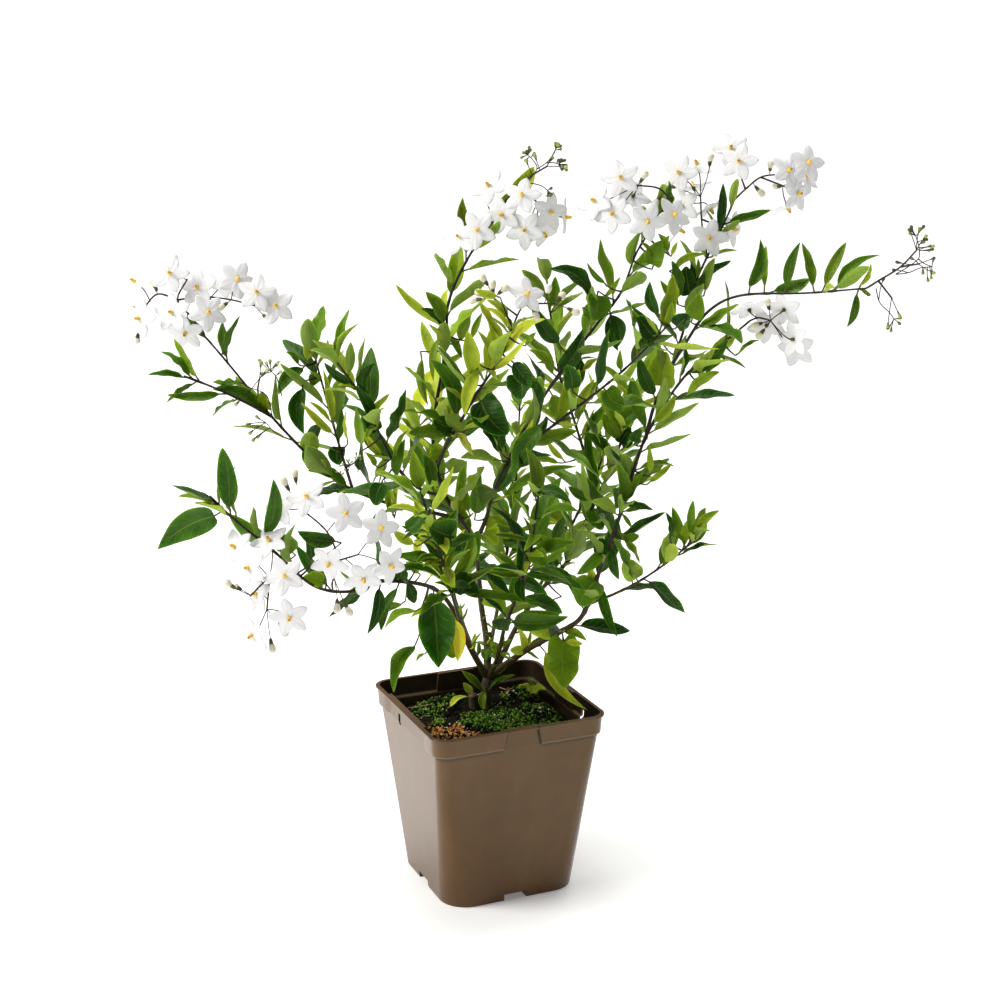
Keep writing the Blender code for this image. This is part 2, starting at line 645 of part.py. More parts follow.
def leaf_shape(foot, along, normal, length, width, bend, twist, fold, spare=0.0, blade_only=False):
    """A leaf: petiole, blade folded at its rib, tip. It bends away from its normal and twists."""
    thick = LEAF_THICK / 2 + spare

    def frame(t):
        """The rib's place at t, and the directions across the blade and out of its face there."""
        middle = foot + length * (t * along - bend * t * t * normal)
        side, lifted = np.cross(along, normal), unit(normal + 2 * bend * t * along)
        cos, sin = math.cos(twist * t), math.sin(twist * t)
        return middle, cos * side + sin * lifted, cos * lifted - sin * side

    points = []
    for t in (0.0, PETIOLE_END):
        middle, out, lift = frame(t)
        wide = PETIOLE_R + spare
        points += [middle + wide * out, middle - wide * out, middle - wide * 1.2 * lift]
    middle, out, lift = frame(LEAF_WIDEST)
    half = width / 2 + spare
    edge = middle + fold * half * lift
    points += [edge + half * out - thick * lift, edge + half * out + thick * lift, middle + thick * lift,
               edge - half * out + thick * lift, edge - half * out - thick * lift, middle - thick * lift]
    faces = [[3, 5, 4]] if blade_only else [[0, 2, 1]]
    if not blade_only:
        for j, k in ((0, 1), (1, 2), (2, 0)):
            faces += [[j, k, k + 3], [j, k + 3, j + 3]]
    faces += [[3, 7, 6], [3, 4, 8], [3, 8, 7], [4, 9, 8], [4, 10, 9], [4, 5, 11], [4, 11, 10], [5, 3, 6],
              [5, 6, 11]]
    if width < BROAD_LEAF:
        points.append(frame(1.0)[0])
        return np.array(points), faces + [[6 + k, 6 + (k + 1) % 6, 12] for k in range(6)]
    middle, out, lift = frame(LEAF_UPPER)
    half = LEAF_NARROWS * width / 2 + spare
    points += [middle + half * out - thick * lift, middle + half * out + thick * lift,
               middle - half * out + thick * lift, middle - half * out - thick * lift]
    points.append(frame(1.0)[0])
    faces += [[6, 7, 13], [6, 13, 12], [7, 8, 13], [8, 14, 13], [8, 9, 14], [9, 10, 15], [9, 15, 14],
              [10, 11, 15], [11, 12, 15], [11, 6, 12], [12, 13, 16], [13, 14, 16], [14, 15, 16], [15, 12, 16]]
    return np.array(points), faces


def ring_at(place, along, radius, sides, side=None):
    """A ring square to a direction, and the direction of its first point."""
    side = np.cross(along, (0.21, 0.37, 0.9)) if side is None else side
    side = unit(side - along * side.dot(along))
    angles = np.linspace(0, 2 * math.pi, sides, endpoint=False)[:, None]
    return place + radius * (np.cos(angles) * side + np.sin(angles) * np.cross(along, side)), side


def stalk_shape(points, radii, sides):
    rings, side = [], None
    for k, place in enumerate(points):
        along = unit(points[min(k + 1, len(points) - 1)] - points[max(k - 1, 0)])
        ring, side = ring_at(place, along, radii[k], sides, side)
        rings.append(ring)
    return lofted(rings)


def between(inner, outline):
    """Faces between a ring of three points and an outline of ten round it, counterclockwise."""
    faces = []
    for i in range(10):
        j, j2, after = (3 * i + 1) // 10, (3 * i + 4) // 10, outline[(i + 1) % 10]
        faces.append([inner[j % 3], outline[i], after])
        if j2 != j:
            faces.append([inner[j % 3], after, inner[j2 % 3]])
    return faces


def flower_shape(place, facing, turn, joint, spare=0.0):
    """A star of five petals with its cone of anthers, on a pedicel that ends at the joint."""
    side = unit(np.cross(facing, UP + 0.01))
    other = np.cross(facing, side)
    thick = PETAL_THICK / 2 + spare

    def at(radius, step, lift):
        angle = turn + step * math.pi / 5
        return place + radius * (math.cos(angle) * side + math.sin(angle) * other) + lift * facing

    notch = FLOWER_R * FLOWER_NOTCH + spare
    points = [at(CONE_R, 10 * k / 3, thick) for k in range(3)]
    points += [at(notch, 2 * k, thick) for k in range(5)]
    points += [at(notch, 2 * k, -thick) for k in range(5)]
    points += [at(FLOWER_R + 2 * spare, 2 * k + 1, PETAL_LIFT * (1 + k % 2)) for k in range(5)]
    points += [at(PEDICEL_R + spare, 10 * k / 3, -thick - 0.1) for k in range(3)]
    points.append(at(0, 0, CONE_TALL))
    high, low, tips, collar, apex = range(3, 8), range(8, 13), range(13, 18), (18, 19, 20), 21
    top = [v for k in range(5) for v in (high[k], tips[k])]
    bottom = [v for k in range(5) for v in (low[k], tips[k])]
    faces = between((0, 1, 2), top) + [face[::-1] for face in between(collar, bottom)]
    for k in range(5):
        k2 = (k + 1) % 5
        faces += [[high[k], low[k], tips[k]], [tips[k], low[k2], high[k2]]]
    for k in range(3):
        faces.append([k, (k + 1) % 3, apex])
    ring, first = 18, points[18] - place
    back = place - facing * NECK
    if facing.dot(unit(place - joint)) < STRAIGHT:
        neck, first = ring_at(back, unit(unit(back - joint) + facing), PEDICEL_R + spare, 3, first)
        points += list(neck)
        faces += sleeve(ring, 22)
        ring = 22
    else:
        back = place
    foot, _ = ring_at(joint, unit(back - joint), PEDICEL_R * 0.9 + spare, 3, first)
    last = len(points)
    points += list(foot)
    faces += sleeve(ring, last) + [[last, last + 2, last + 1]]
    return np.array(points), faces


def sleeve(ring, behind):
    """Faces from a ring of three to the ring of three behind it."""
    faces = []
    for k in range(3):
        k2 = (k + 1) % 3
        faces += [[ring + k, behind + k, behind + k2], [ring + k, behind + k2, ring + k2]]
    return faces


def bud_shape(tip, joint, spare=0.0):
    """A closed bud, three-sided and widest near its middle, on a pedicel that ends at the joint."""
    along = unit(tip - joint)
    foot, side = ring_at(joint, along, PEDICEL_R * 0.9 + spare, 3)
    neck, _ = ring_at(tip - along * BUD_LONG, along, PEDICEL_R + spare, 3, side)
    belly, _ = ring_at(tip - along * BUD_LONG * 0.45, along, BUD_R + spare, 3, side)
    points = np.concatenate([foot, neck, belly, [tip]])
    faces = [[0, 2, 1]]
    for low in (0, 3):
        for k in range(3):
            k2 = (k + 1) % 3
            faces += [[low + k, low + k2, low + 3 + k2], [low + k, low + 3 + k2, low + 3 + k]]
    faces += [[6, 7, 9], [7, 8, 9], [8, 6, 9]]
    return points, faces


class Garden:
    """What has been placed so far, to keep what is placed next clear of it.

    Each thing has a whole shape, kept clear of the other nodes, and a crown, which leaves out its
    root and is kept clear of its own node as well.
    """

    def __init__(self):
        self.placed = []

    def tree(self, shape):
        points, faces = shape
        return BVHTree.FromPolygons([tuple(point) for point in points], [list(face) for face in faces])

    def reach(self, shape):
        points = np.asarray(shape[0])
        middle = (points.min(0) + points.max(0)) / 2
        return middle, np.linalg.norm(points - middle, axis=1).max()

    def add(self, node, whole, crown=None):
        middle, reach = self.reach(whole)
        tree = self.tree(whole)
        self.placed.append((node, middle, reach, tree, self.tree(crown) if crown else tree))

    def clear(self, node, whole, crown):
        """Whether a new thing would touch nothing. No crown: its own node isn't looked at."""
        middle, reach = self.reach(whole)
        trees = self.tree(whole), self.tree(crown) if crown else None
        for other, other_middle, other_reach, other_whole, other_crown in self.placed:
            if np.linalg.norm(middle - other_middle) > reach + other_reach:
                continue
            if other != node and trees[0].overlap(other_whole):
                return False
            if other == node and crown and trees[1].overlap(other_crown):
                return False
        return True


def stem_pieces(canes, routes):
    """For each stem its tubes: its own, and the stubs of what grows from it."""
    pieces = {"woody_base": [tube(routes["woody_base"], 0, routes["woody_base"].length, BASE_R, BASE_SIDES,
                                BASE_STEP)]}
    for name, cane in canes.items():
        route = routes[name]
        pieces[name] = [tube(route, cane["stub"] + GAP, route.length, cane["radius"], STEM_SIDES)]
    for name, cane in canes.items():
        stub = tube(routes[name], 0, cane["stub"], cane["radius"], STEM_SIDES, STUB_STEP)
        pieces[cane["grows_from"]].append(stub)
    return pieces


def shortened(joint, place):
    """A point a little out from the joint, where a pedicel has left its stalk."""
    return joint + unit(place - joint) * 3.0


def spray_stalks(spray, routes, canes):
    """The stalk and arms of a spray, the stub that its stem holds for it, and its joints."""
    parent = routes[spray["grows_from"]]
    stub, start_r = [], canes[spray["grows_from"]]["radius"][1]
    if spray["foot"] is None:
        end, along = parent.point(parent.length), parent.direction(parent.length)
    else:
        foot = parent.point(parent.nearest(turned([spray["foot"]])[0]))
        along = unit(turned([spray["stalk"][0]])[0] - foot)
        end, start_r = foot + along * SIDE_STUB, SIDE_STUB_R
        stub.append(stalk_shape([foot, end], [start_r, start_r], STEM_SIDES))
    stalk = [end + along * GAP, end + along * 2, *turned(spray["stalk"])]
    shapes = [stalk_shape(stalk, [start_r] * 2 + [STALK_R] * (len(stalk) - 2), STEM_SIDES)]
    joints = []
    for line in [stalk[1:], *(turned(arm) for arm in spray["arms"])]:
        for a, b in zip(line, line[1:]):
            steps = max(1, round(np.linalg.norm(b - a) / JOINT_STEP))
            joints += [a + (b - a) * k / steps for k in range(1, steps + 1)]
        joints[-1] = joints[-1] + unit(line[-2] - line[-1]) * 0.8
    joints = joints[1:]
    for arm in spray["arms"]:
        points = turned(arm)
        shapes.append(stalk_shape(points, [STALK_R * 0.9] * len(points), STEM_SIDES))
    return shapes, stub, joints


def place_spray(name, spray, joints, garden, draw):
    """Each flower and bud of a spray on a pedicel from the nearest joint, clear of the rest."""
    shapes = []
    across, up = np.mean(spray["flowers"] + spray["buds"], axis=0)
    mean = turned([(across, spray["depth"], up)])[0]
    faces = unit(turned([spray["faces"]])[0])
    for across, up in spray["flowers"]:
        depth = spray["depth"] + draw.uniform(-9, 9)
        turn = draw.uniform(0, 2 * math.pi)
        sway = np.array([draw.uniform(-0.3, 0.3) for _ in range(3)])
        for k in range(SPRAY_TRIES):
            away = depth + 6 * (k // 2 + k % 2) * (-1) ** k
            place = turned([(across, away, up)])[0]
            facing = unit(faces + 0.4 * unit(place - mean + 0.01) + sway)
            back = place - NECK * facing
            far = [joint for joint in joints if np.linalg.norm(joint - back) > SHORTEST_PEDICEL]
            joint = min(far or joints, key=lambda found: np.linalg.norm(found - back))
            from_joint = unit(place - joint)
            facing = unit(facing + from_joint * max(0, 0.35 - facing.dot(from_joint)))
            guard = flower_shape(place, facing, turn, shortened(joint, place - NECK * facing), CLEAR)
            if garden.clear(name, guard, guard):
                shapes.append(flower_shape(place, facing, turn, joint))
                garden.add(name, guard)
                break
    for across, up in spray["buds"]:
        away = spray["depth"] + draw.uniform(-6, 6)
        for k in range(BUD_TRIES):
            tip = turned([(across, away + 4 * (k // 2 + k % 2) * (-1) ** k, up)])[0]
            joint = min(joints, key=lambda j: np.linalg.norm(j - tip))
            tip = joint + unit(tip - joint) * max(BUD_LONG + 4, np.linalg.norm(tip - joint))
            guard = bud_shape(tip, shortened(joint, tip), CLEAR)
            if garden.clear(name, guard, guard):
                shapes.append(bud_shape(tip, joint))
                garden.add(name, guard)
                break
    return shapes


def place_leaf(name, route, s, along, normal, length, width, draw, garden, tries):
    """Tries a leaf, then the same leaf turned and shortened, until it is clear of everything."""
    bend, twist = draw.uniform(0.05, 0.3), draw.uniform(-0.6, 0.6)
    fold = draw.uniform(0.15, 0.4)
    axis = route.direction(s)
    foot = route.point(s)
    for k in range(tries):
        turn = TRY_TURN * (k // 2 + k % 2) * (-1) ** k
        cos, sin = math.cos(turn), math.sin(turn)

        def swung(v):
            return v * cos + np.cross(axis, v) * sin + axis * axis.dot(v) * (1 - cos)

        size = 1 - TRY_SHRINK * k
        made = (foot, swung(along), swung(normal), length * size, width * size, bend, twist, fold)
        guard = leaf_shape(*made, spare=CLEAR)
        blade = leaf_shape(*made, spare=CLEAR, blade_only=True)
        if garden.clear(name, guard, blade):
            garden.add(name, guard, blade)
            return leaf_shape(*made)
    return None


def place_leaves(canes, routes, garden):
    """The single leaves first, then the leaves by rule: alternate, a golden turn apart."""
    leaves = {name: [] for name in canes}
    draw = random.Random(LEAF_SEED)
    for name, cane in canes.items():
        route = routes[name]
        for foot, tip, width in cane["reach"]:
            ends = turned([foot, tip])
            s = min(max(route.nearest(ends[0]), cane["stub"] + 5), route.length - 1.5)
            reach = ends[1] - route.point(s)
            along = unit(reach)
            up = UP + 0.8 * turned([(0, -1, 0)])[0]
            normal = unit(up - along * up.dot(along))
            leaves[name].append(place_leaf(name, route, s, along, normal, np.linalg.norm(reach), width,
                                           draw, garden, REACH_TRIES))
    for name, cane in canes.items():
        route = routes[name]
        first = cane["stub"] + 5 + cane["bare"] * route.length
        phase = draw.uniform(0, 2 * math.pi)
        for i in range(cane["leaves"]):
            share = (i + 0.5 + draw.uniform(-0.25, 0.25)) / cane["leaves"]
            s = first + (route.length - 2 - first) * share
            axis = route.direction(s)
            side = unit(np.cross(axis, (0.6, 0.8, 0.05)))
            turn = phase + i * GOLDEN
            out = math.cos(turn) * side + math.sin(turn) * np.cross(axis, side)
            lift = math.radians(draw.uniform(38, 66) - 18 * share)
            along = unit(axis * math.cos(lift) + out * math.sin(lift) + UP * draw.uniform(0.0, 0.35))
            face = axis + 0.5 * UP - 0.3 * out
            normal = unit(face - along * face.dot(along))
            length = cane["leaf"] * draw.uniform(0.72, 1.18) * (1 - 0.22 * share)
            width = length * LEAF_SLIM * draw.uniform(0.85, 1.15)
            leaves[name].append(place_leaf(name, route, s, along, normal, length, width, draw, garden,
                                           LEAF_TRIES))
    return {name: [leaf for leaf in found if leaf] for name, found in leaves.items()}


def make_plant(pot, soil):
    routes = {name: Route(cane["route"]) for name, cane in CANES.items()}
    routes["woody_base"] = Route(BASE_ROUTE)
    garden = Garden()
    for holder in (pot, soil):
        points = np.array([vert.co[:] for vert in holder.data.vertices]) / MM
        garden.add(holder.name, (points, [face.vertices[:] for face in holder.data.polygons]))
    pieces = stem_pieces(CANES, routes)
    joints = {}
    for name, spray in SPRAYS.items():
        pieces[name], stub, joints[name] = spray_stalks(spray, routes, CANES)
        pieces[spray["grows_from"]] += stub
    for name, shapes in pieces.items():
        for shape in shapes:
            garden.add(name, shape)
    draw = random.Random(SPRAY_SEED)
    for name, spray in SPRAYS.items():
        pieces[name] += place_spray(name, spray, joints[name], garden, draw)
    leaves = place_leaves(CANES, routes, garden)
    fused("woody_base", pieces["woody_base"], "wood")
    for name in CANES:
        fused(name, pieces[name] + leaves[name], "leafy")
    for name in SPRAYS:
        fused(name, pieces[name], "spray")


def main():
    for old in list(bpy.data.objects):
        bpy.data.objects.remove(old)
    make_plant(make_pot(), make_soil())


main()
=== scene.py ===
import json
import math
import random
import bpy
import numpy as np
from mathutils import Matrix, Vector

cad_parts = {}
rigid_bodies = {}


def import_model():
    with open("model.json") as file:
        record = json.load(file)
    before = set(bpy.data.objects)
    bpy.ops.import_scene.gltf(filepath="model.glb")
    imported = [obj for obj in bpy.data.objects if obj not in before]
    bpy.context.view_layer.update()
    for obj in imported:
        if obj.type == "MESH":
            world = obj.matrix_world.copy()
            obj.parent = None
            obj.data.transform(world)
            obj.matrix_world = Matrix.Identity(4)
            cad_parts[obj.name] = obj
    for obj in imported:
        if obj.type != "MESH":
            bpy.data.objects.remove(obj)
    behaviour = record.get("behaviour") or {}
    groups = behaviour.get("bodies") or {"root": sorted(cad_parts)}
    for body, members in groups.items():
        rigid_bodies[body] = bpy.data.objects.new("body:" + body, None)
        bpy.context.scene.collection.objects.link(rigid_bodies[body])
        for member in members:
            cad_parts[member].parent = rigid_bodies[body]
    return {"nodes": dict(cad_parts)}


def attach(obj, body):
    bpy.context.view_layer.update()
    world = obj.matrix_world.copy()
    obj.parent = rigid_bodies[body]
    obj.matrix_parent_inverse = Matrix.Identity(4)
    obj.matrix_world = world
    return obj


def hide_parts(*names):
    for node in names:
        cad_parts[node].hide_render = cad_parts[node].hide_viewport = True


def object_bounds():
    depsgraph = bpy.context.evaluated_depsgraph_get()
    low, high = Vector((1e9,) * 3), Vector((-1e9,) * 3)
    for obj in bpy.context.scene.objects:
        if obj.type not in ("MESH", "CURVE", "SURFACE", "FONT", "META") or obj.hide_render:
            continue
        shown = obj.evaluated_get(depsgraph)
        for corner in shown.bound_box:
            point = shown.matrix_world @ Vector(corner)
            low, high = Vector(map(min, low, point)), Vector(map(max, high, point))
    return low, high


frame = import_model()
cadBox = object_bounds()
nodes = frame["nodes"]
print("frame loaded:", len(nodes), "nodes")

mm = 0.001
up = np.array([0.0, 0.0, 1.0])
photoTurn = math.radians(23.24)  # from the pot's front wall to the plant's across direction


def turned(points):  # across, away and up, turned about the upright axis to the pot's own axes
    across, away, high = np.asarray(points, float).T
    cos, sin = math.cos(photoTurn), math.sin(photoTurn)
    return np.stack([across * cos + away * sin, away * cos - across * sin, high], -1)


def unit(vectors):
    return vectors / np.linalg.norm(vectors, axis=-1, keepdims=True)


def ease(value, low, high):  # 0 below low, 1 above high, and a smooth step between
    share = np.clip((value - low) / (high - low), 0, 1)
    return share * share * (3 - 2 * share)


def linked(name, data, collection=None):  # a new object in the scene or in this collection
    made = bpy.data.objects.new(name, data)
    (collection or bpy.context.scene.collection).objects.link(made)
    return made


# Camera, at the photograph's place and angle
cameraView = dict(place=(8.85, -1211.6, 595.0), down=14.6125, lens=65.17, sensor=36.0)
camera = linked("camera", bpy.data.cameras.new("camera"))
camera.data.lens = cameraView["lens"]
camera.data.sensor_width = cameraView["sensor"]
camera.data.clip_start, camera.data.clip_end = 0.05, 80
camera.location = turned([cameraView["place"]])[0] * mm
camera.rotation_euler = (math.radians(90 - cameraView["down"]), 0, -photoTurn)
bpy.context.scene.camera = camera
bpy.context.scene.view_settings.view_transform = "Standard"

# Studio: a pale floor, a large soft key from the viewer's left, a broad light high behind and white air
studio = dict(
    floorHalf=24.0, floorCells=8, floorColour=(0.98, 0.98, 0.98), floorCloud=(0.96, 0.96, 0.96),
    air=(1.0, 1.0, 1.0), airStrength=0.16, seenAir=1.1, sheenAir=0.32,
    key=dict(place=(-1500, -450, 1500), aim=(0, 0, 250), size=1.0, watts=43, colour=(1.0, 0.98, 0.95)),
    sky=dict(place=(200, 700, 2400), aim=(0, 0, 0), spread=40, strength=3.1, colour=(1.0, 1.0, 0.98)),
)


def softLight(name, look):  # a round soft box given in watts, or a far light of a given strength
    lamp = bpy.data.lights.new(name, "AREA" if "watts" in look else "SUN")
    if "watts" in look:
        lamp.shape, lamp.size, lamp.energy = "DISK", look["size"], look["watts"]
    else:
        lamp.angle, lamp.energy = math.radians(look["spread"]), look["strength"]
    lamp.color = look["colour"]
    holder = linked(name, lamp)
    place, aim = turned([look["place"], look["aim"]]) * mm
    holder.location = place
    away = unit(aim - place)
    holder.rotation_euler = (math.acos(-away[2]), 0, math.atan2(away[0], -away[1]) + math.pi)


for light in ("key", "sky"):
    softLight(light + "Light", studio[light])


# Nodes of a material or a group
def put(tree, kind, inputs=(), **settings):  # one node; a socket among the inputs is linked, a value is set
    node = tree.nodes.new("ShaderNode" + kind)
    for name, value in settings.items():
        setattr(node, name, value)
    for key, value in dict(inputs).items():
        if isinstance(value, bpy.types.NodeSocket):
            tree.links.new(value, node.inputs[key])
        else:
            node.inputs[key].default_value = value
    return node


def calc(tree, operation, *values, clamp=False):
    return put(tree, "Math", enumerate(values), operation=operation, use_clamp=clamp).outputs[0]


def times(tree, first, second):
    return calc(tree, "MULTIPLY", first, second)


def plus(tree, first, second, clamp=False):
    return calc(tree, "ADD", first, second, clamp=clamp)


def minus(tree, first, second):
    return calc(tree, "SUBTRACT", first, second)


def absolute(tree, value):
    return calc(tree, "ABSOLUTE", value)


def blended(tree, share, first, second, way="MIX"):  # colours mixed by a share
    first, second = ((*c, 1) if isinstance(c, tuple) and len(c) == 3 else c for c in (first, second))
    node = put(tree, "Mix", {0: share, 6: first, 7: second}, data_type="RGBA", blend_type=way)
    return node.outputs[2]


def tinted(tree, colour, share, strength, tint):  # a tint laid over a colour, by a share and its strength
    return blended(tree, times(tree, share, strength), colour, tint)


def stepped(tree, value, low, high, outLow=0.0, outHigh=1.0):  # a smooth step from low to high
    inputs = {0: value, 1: low, 2: high, 3: outLow, 4: outHigh}
    return put(tree, "MapRange", inputs, interpolation_type="SMOOTHSTEP").outputs[0]


def between(tree, value, none, low, high, gone):  # 1 from low to high, smoothly down to 0 at none and gone
    return times(tree, stepped(tree, value, none, low), stepped(tree, value, high, gone, 1.0, 0.0))


def ramped(tree, value, stops):  # a colour ramp through (place, colour) stops
    node = put(tree, "ValToRGB", {0: value})
    points = node.color_ramp.elements
    while len(points) < len(stops):
        points.new(0.5)
    for point, (place, colour) in zip(points, stops):
        point.position, point.color = place, (*colour, 1)
    return node.outputs[0]


def objectPlace(tree):
    return put(tree, "TexCoord").outputs["Object"]


def noise(tree, place, scale, detail=3.0, rough=0.55):
    inputs = {"Vector": place, "Scale": scale, "Detail": detail, "Roughness": rough}
    return put(tree, "TexNoise", inputs).outputs[0]


def attribute(tree, name):
    return put(tree, "Attribute", attribute_name=name).outputs["Fac"]


def group(name, takes, gives):  # a node group with named number inputs and outputs
    made = bpy.data.node_groups.new(name, "ShaderNodeTree")
    for title, value in takes:
        made.interface.new_socket(title, in_out="INPUT", socket_type="NodeSocketFloat").default_value = value
    for title in gives:
        made.interface.new_socket(title, in_out="OUTPUT", socket_type="NodeSocketFloat")
    return made, made.nodes.new("NodeGroupInput"), made.nodes.new("NodeGroupOutput")


def placed(tree, made, **inputs):  # a group in a material, with its own values
    return put(tree, "Group", inputs, node_tree=made).outputs


def finish(name, rough=0.5, **fixed):  # a material, its tree and its shader; fixed values sit on the shader
    made = bpy.data.materials.new(name)
    made.use_nodes = True
    tree = made.node_tree
    shader = tree.nodes["Principled BSDF"]
    shader.inputs["Roughness"].default_value = rough
    for title, value in fixed.items():
        shader.inputs[title].default_value = value
    return made, tree, shader


def bumped(tree, shader, height, strength, distance):
    node = put(tree, "Bump", {"Height": height, "Strength": strength, "Distance": distance})
    tree.links.new(node.outputs[0], shader.inputs["Normal"])


def skinned(tree, shader, colour, *relief):  # a colour, and a relief of height, strength and distance
    tree.links.new(colour, shader.inputs["Base Color"])
    bumped(tree, shader, *relief)


def whiteAir():  # the air lights softly, is brighter in sheens and plain white past the floor
    world = bpy.data.worlds.new("studioAir")
    bpy.context.scene.world = world
    world.use_nodes = True
    tree = world.node_tree
    shader = tree.nodes["Background"]
    shader.inputs[0].default_value = (*studio["air"], 1)
    rays = put(tree, "LightPath").outputs
    strength = studio["airStrength"]
    for kind, other in (("Is Glossy Ray", studio["sheenAir"]), ("Is Camera Ray", studio["seenAir"])):
        strength = put(tree, "Mix", {0: rays[kind], 2: strength, 3: other}).outputs[0]
    tree.links.new(strength, shader.inputs[1])


whiteAir()

# Mottle: two sizes of noise over the object, about 0.5 in the middle
mottle, takes, gives = group("mottle", [("Size", 100.0), ("Contrast", 1.0)], ["Shade", "Grain"])
where = objectPlace(mottle)
broad = noise(mottle, where, takes.outputs["Size"], 2.0)
fineSize = times(mottle, takes.outputs["Size"], 7.0)
grain = noise(mottle, where, fineSize, 3.0, 0.65)
both = plus(mottle, times(mottle, broad, 0.65), times(mottle, grain, 0.35))
lifted = times(mottle, minus(mottle, both, 0.5), takes.outputs["Contrast"])
mottle.links.new(plus(mottle, lifted, 0.5, clamp=True), gives.inputs["Shade"])
mottle.links.new(grain, gives.inputs["Grain"])

# Veins: a midrib and slanting side veins, from the blade's own across (-1 to 1) and along (0 to 1)
veins, takes, gives = group("veins", [("Pairs", 7.0), ("Slant", 1.6), ("Width", 0.1)], ["Rib", "Side"])
aside = absolute(veins, attribute(veins, "across"))
alongBlade = attribute(veins, "along")
slanted = times(veins, calc(veins, "POWER", aside, 0.8), takes.outputs["Slant"])
counted = times(veins, alongBlade, takes.outputs["Pairs"])
wave = calc(veins, "FRACT", minus(veins, counted, slanted))
apart = absolute(veins, minus(veins, wave, 0.5))
nearVein = stepped(veins, apart, minus(veins, 0.5, takes.outputs["Width"]), 0.5)
fading = stepped(veins, aside, 0.75, 1.0, 1.0, 0.0)
bladeOnly = stepped(veins, alongBlade, 0.0, 0.03)
side = times(veins, times(veins, nearVein, fading), bladeOnly)
veins.links.new(side, gives.inputs["Side"])
rib = times(veins, stepped(veins, aside, 0.015, 0.09, 1.0, 0.0), bladeOnly)
veins.links.new(rib, gives.inputs["Rib"])


def leafFinish(name, stops, paleSide, petiole, gloss):
    # Colour goes by the leaf's age, with mottling, pale veins, a pale underside and a tinted stalk
    made, tree, shader = finish(name, gloss, **{
        "Specular IOR Level": 0.2, "Specular Tint": (0.9, 1.0, 0.6, 1.0), "Subsurface Weight": 0.32,
        "Subsurface Radius": (0.6, 1.0, 0.03), "Subsurface Scale": 0.001})
    age, tone, under = (attribute(tree, title) for title in ("age", "tone", "under"))
    spots = placed(tree, mottle, Size=60.0, Contrast=1.8)
    lines = placed(tree, veins, Pairs=7.0, Slant=1.7, Width=0.16)
    aside = absolute(tree, attribute(tree, "across"))
    shifted = plus(tree, age, times(tree, minus(tree, spots["Shade"], 0.5), 0.22))
    rimward = times(tree, stepped(tree, aside, 0.45, 1.0), 0.05)
    colour = ramped(tree, minus(tree, shifted, rimward), stops)
    dark = times(tree, calc(tree, "POWER", tone, 2.0), 0.85)
    colour = blended(tree, dark, colour, (0.002, 0.026, 0.0005))
    colour = tinted(tree, colour, lines["Rib"], 0.22, (0.26, 0.38, 0.05))
    colour = tinted(tree, colour, lines["Side"], 0.07, (0.20, 0.36, 0.03))
    margin = stepped(tree, aside, 0.9, 1.0, 0.0, 0.35)
    colour = blended(tree, margin, colour, (0.05, 0.055, 0.006))
    dull = blended(tree, stepped(tree, spots["Shade"], 0.4, 0.9, 0.0, 0.45), paleSide, (0.15, 0.11, 0.03))
    colour = tinted(tree, colour, under, 0.6, dull)
    stalk = stepped(tree, attribute(tree, "along"), -0.35, 0.02, 0.85, 0.0)
    colour = blended(tree, stalk, colour, petiole)
    tree.links.new(colour, shader.inputs["Base Color"])
    duller = plus(tree, times(tree, under, 0.2), times(tree, spots["Grain"], 0.3))
    tree.links.new(plus(tree, duller, gloss - 0.15), shader.inputs["Roughness"])
    sunk = plus(tree, lines["Side"], times(tree, lines["Rib"], 1.5))
    facing = minus(tree, 1.0, times(tree, under, 2.0))
    relief = minus(tree, times(tree, spots["Grain"], 0.5), times(tree, sunk, facing))
    bumped(tree, shader, relief, 0.35, 0.0006)
    return made


leafGreen = leafFinish(
    "leafGreen",
    [(0.0, (0.70, 0.27, 0.01)), (0.06, (0.58, 0.50, 0.03)), (0.16, (0.52, 0.57, 0.04)),
     (0.38, (0.195, 0.285, 0.007)), (0.58, (0.070, 0.160, 0.002)), (0.78, (0.012, 0.066, 0.001)),
     (1.0, (0.003, 0.026, 0.0005))],
    (0.24, 0.35, 0.055), (0.07, 0.065, 0.012), 0.42)

# Young stems: near black with purple at the flowering ends, greener lower down, brown bark at the base
stemSkin, tree, shader = finish("stemSkin", 0.5, **{"Specular IOR Level": 0.25})
spots = placed(tree, mottle, Size=160.0, Contrast=2.0)
uneven = times(tree, minus(tree, spots["Shade"], 0.5), 0.3)
colour = ramped(tree, plus(tree, attribute(tree, "young"), uneven), [
    (0.0, (0.060, 0.038, 0.012)), (0.2, (0.045, 0.034, 0.009)), (0.45, (0.024, 0.018, 0.006)),
    (0.75, (0.014, 0.008, 0.005)), (1.0, (0.009, 0.004, 0.005))])
colour = blended(tree, stepped(tree, spots["Grain"], 0.55, 0.8, 0.0, 0.3), colour, (0.10, 0.08, 0.04))
skinned(tree, shader, colour, spots["Grain"], 0.4, 0.0006)

# Bark of the base: brown and grey streaks along it, with pale breathing spots
barkBrown, tree, shader = finish("barkBrown", 0.72)
spots = placed(tree, mottle, Size=120.0, Contrast=2.2)
streakPlace = put(tree, "Mapping", {"Vector": objectPlace(tree), "Scale": (1.0, 1.0, 0.12)}).outputs[0]
streaks = noise(tree, streakPlace, 900.0, 4.0, 0.7)
colour = ramped(tree, streaks, [(0.3, (0.016, 0.009, 0.004)), (0.5, (0.05, 0.03, 0.013)),
                               (0.7, (0.12, 0.08, 0.036))])
colour = blended(tree, stepped(tree, spots["Shade"], 0.5, 0.8, 0.0, 0.6), colour, (0.06, 0.05, 0.015))
skinned(tree, shader, colour, streaks, 0.8, 0.001)

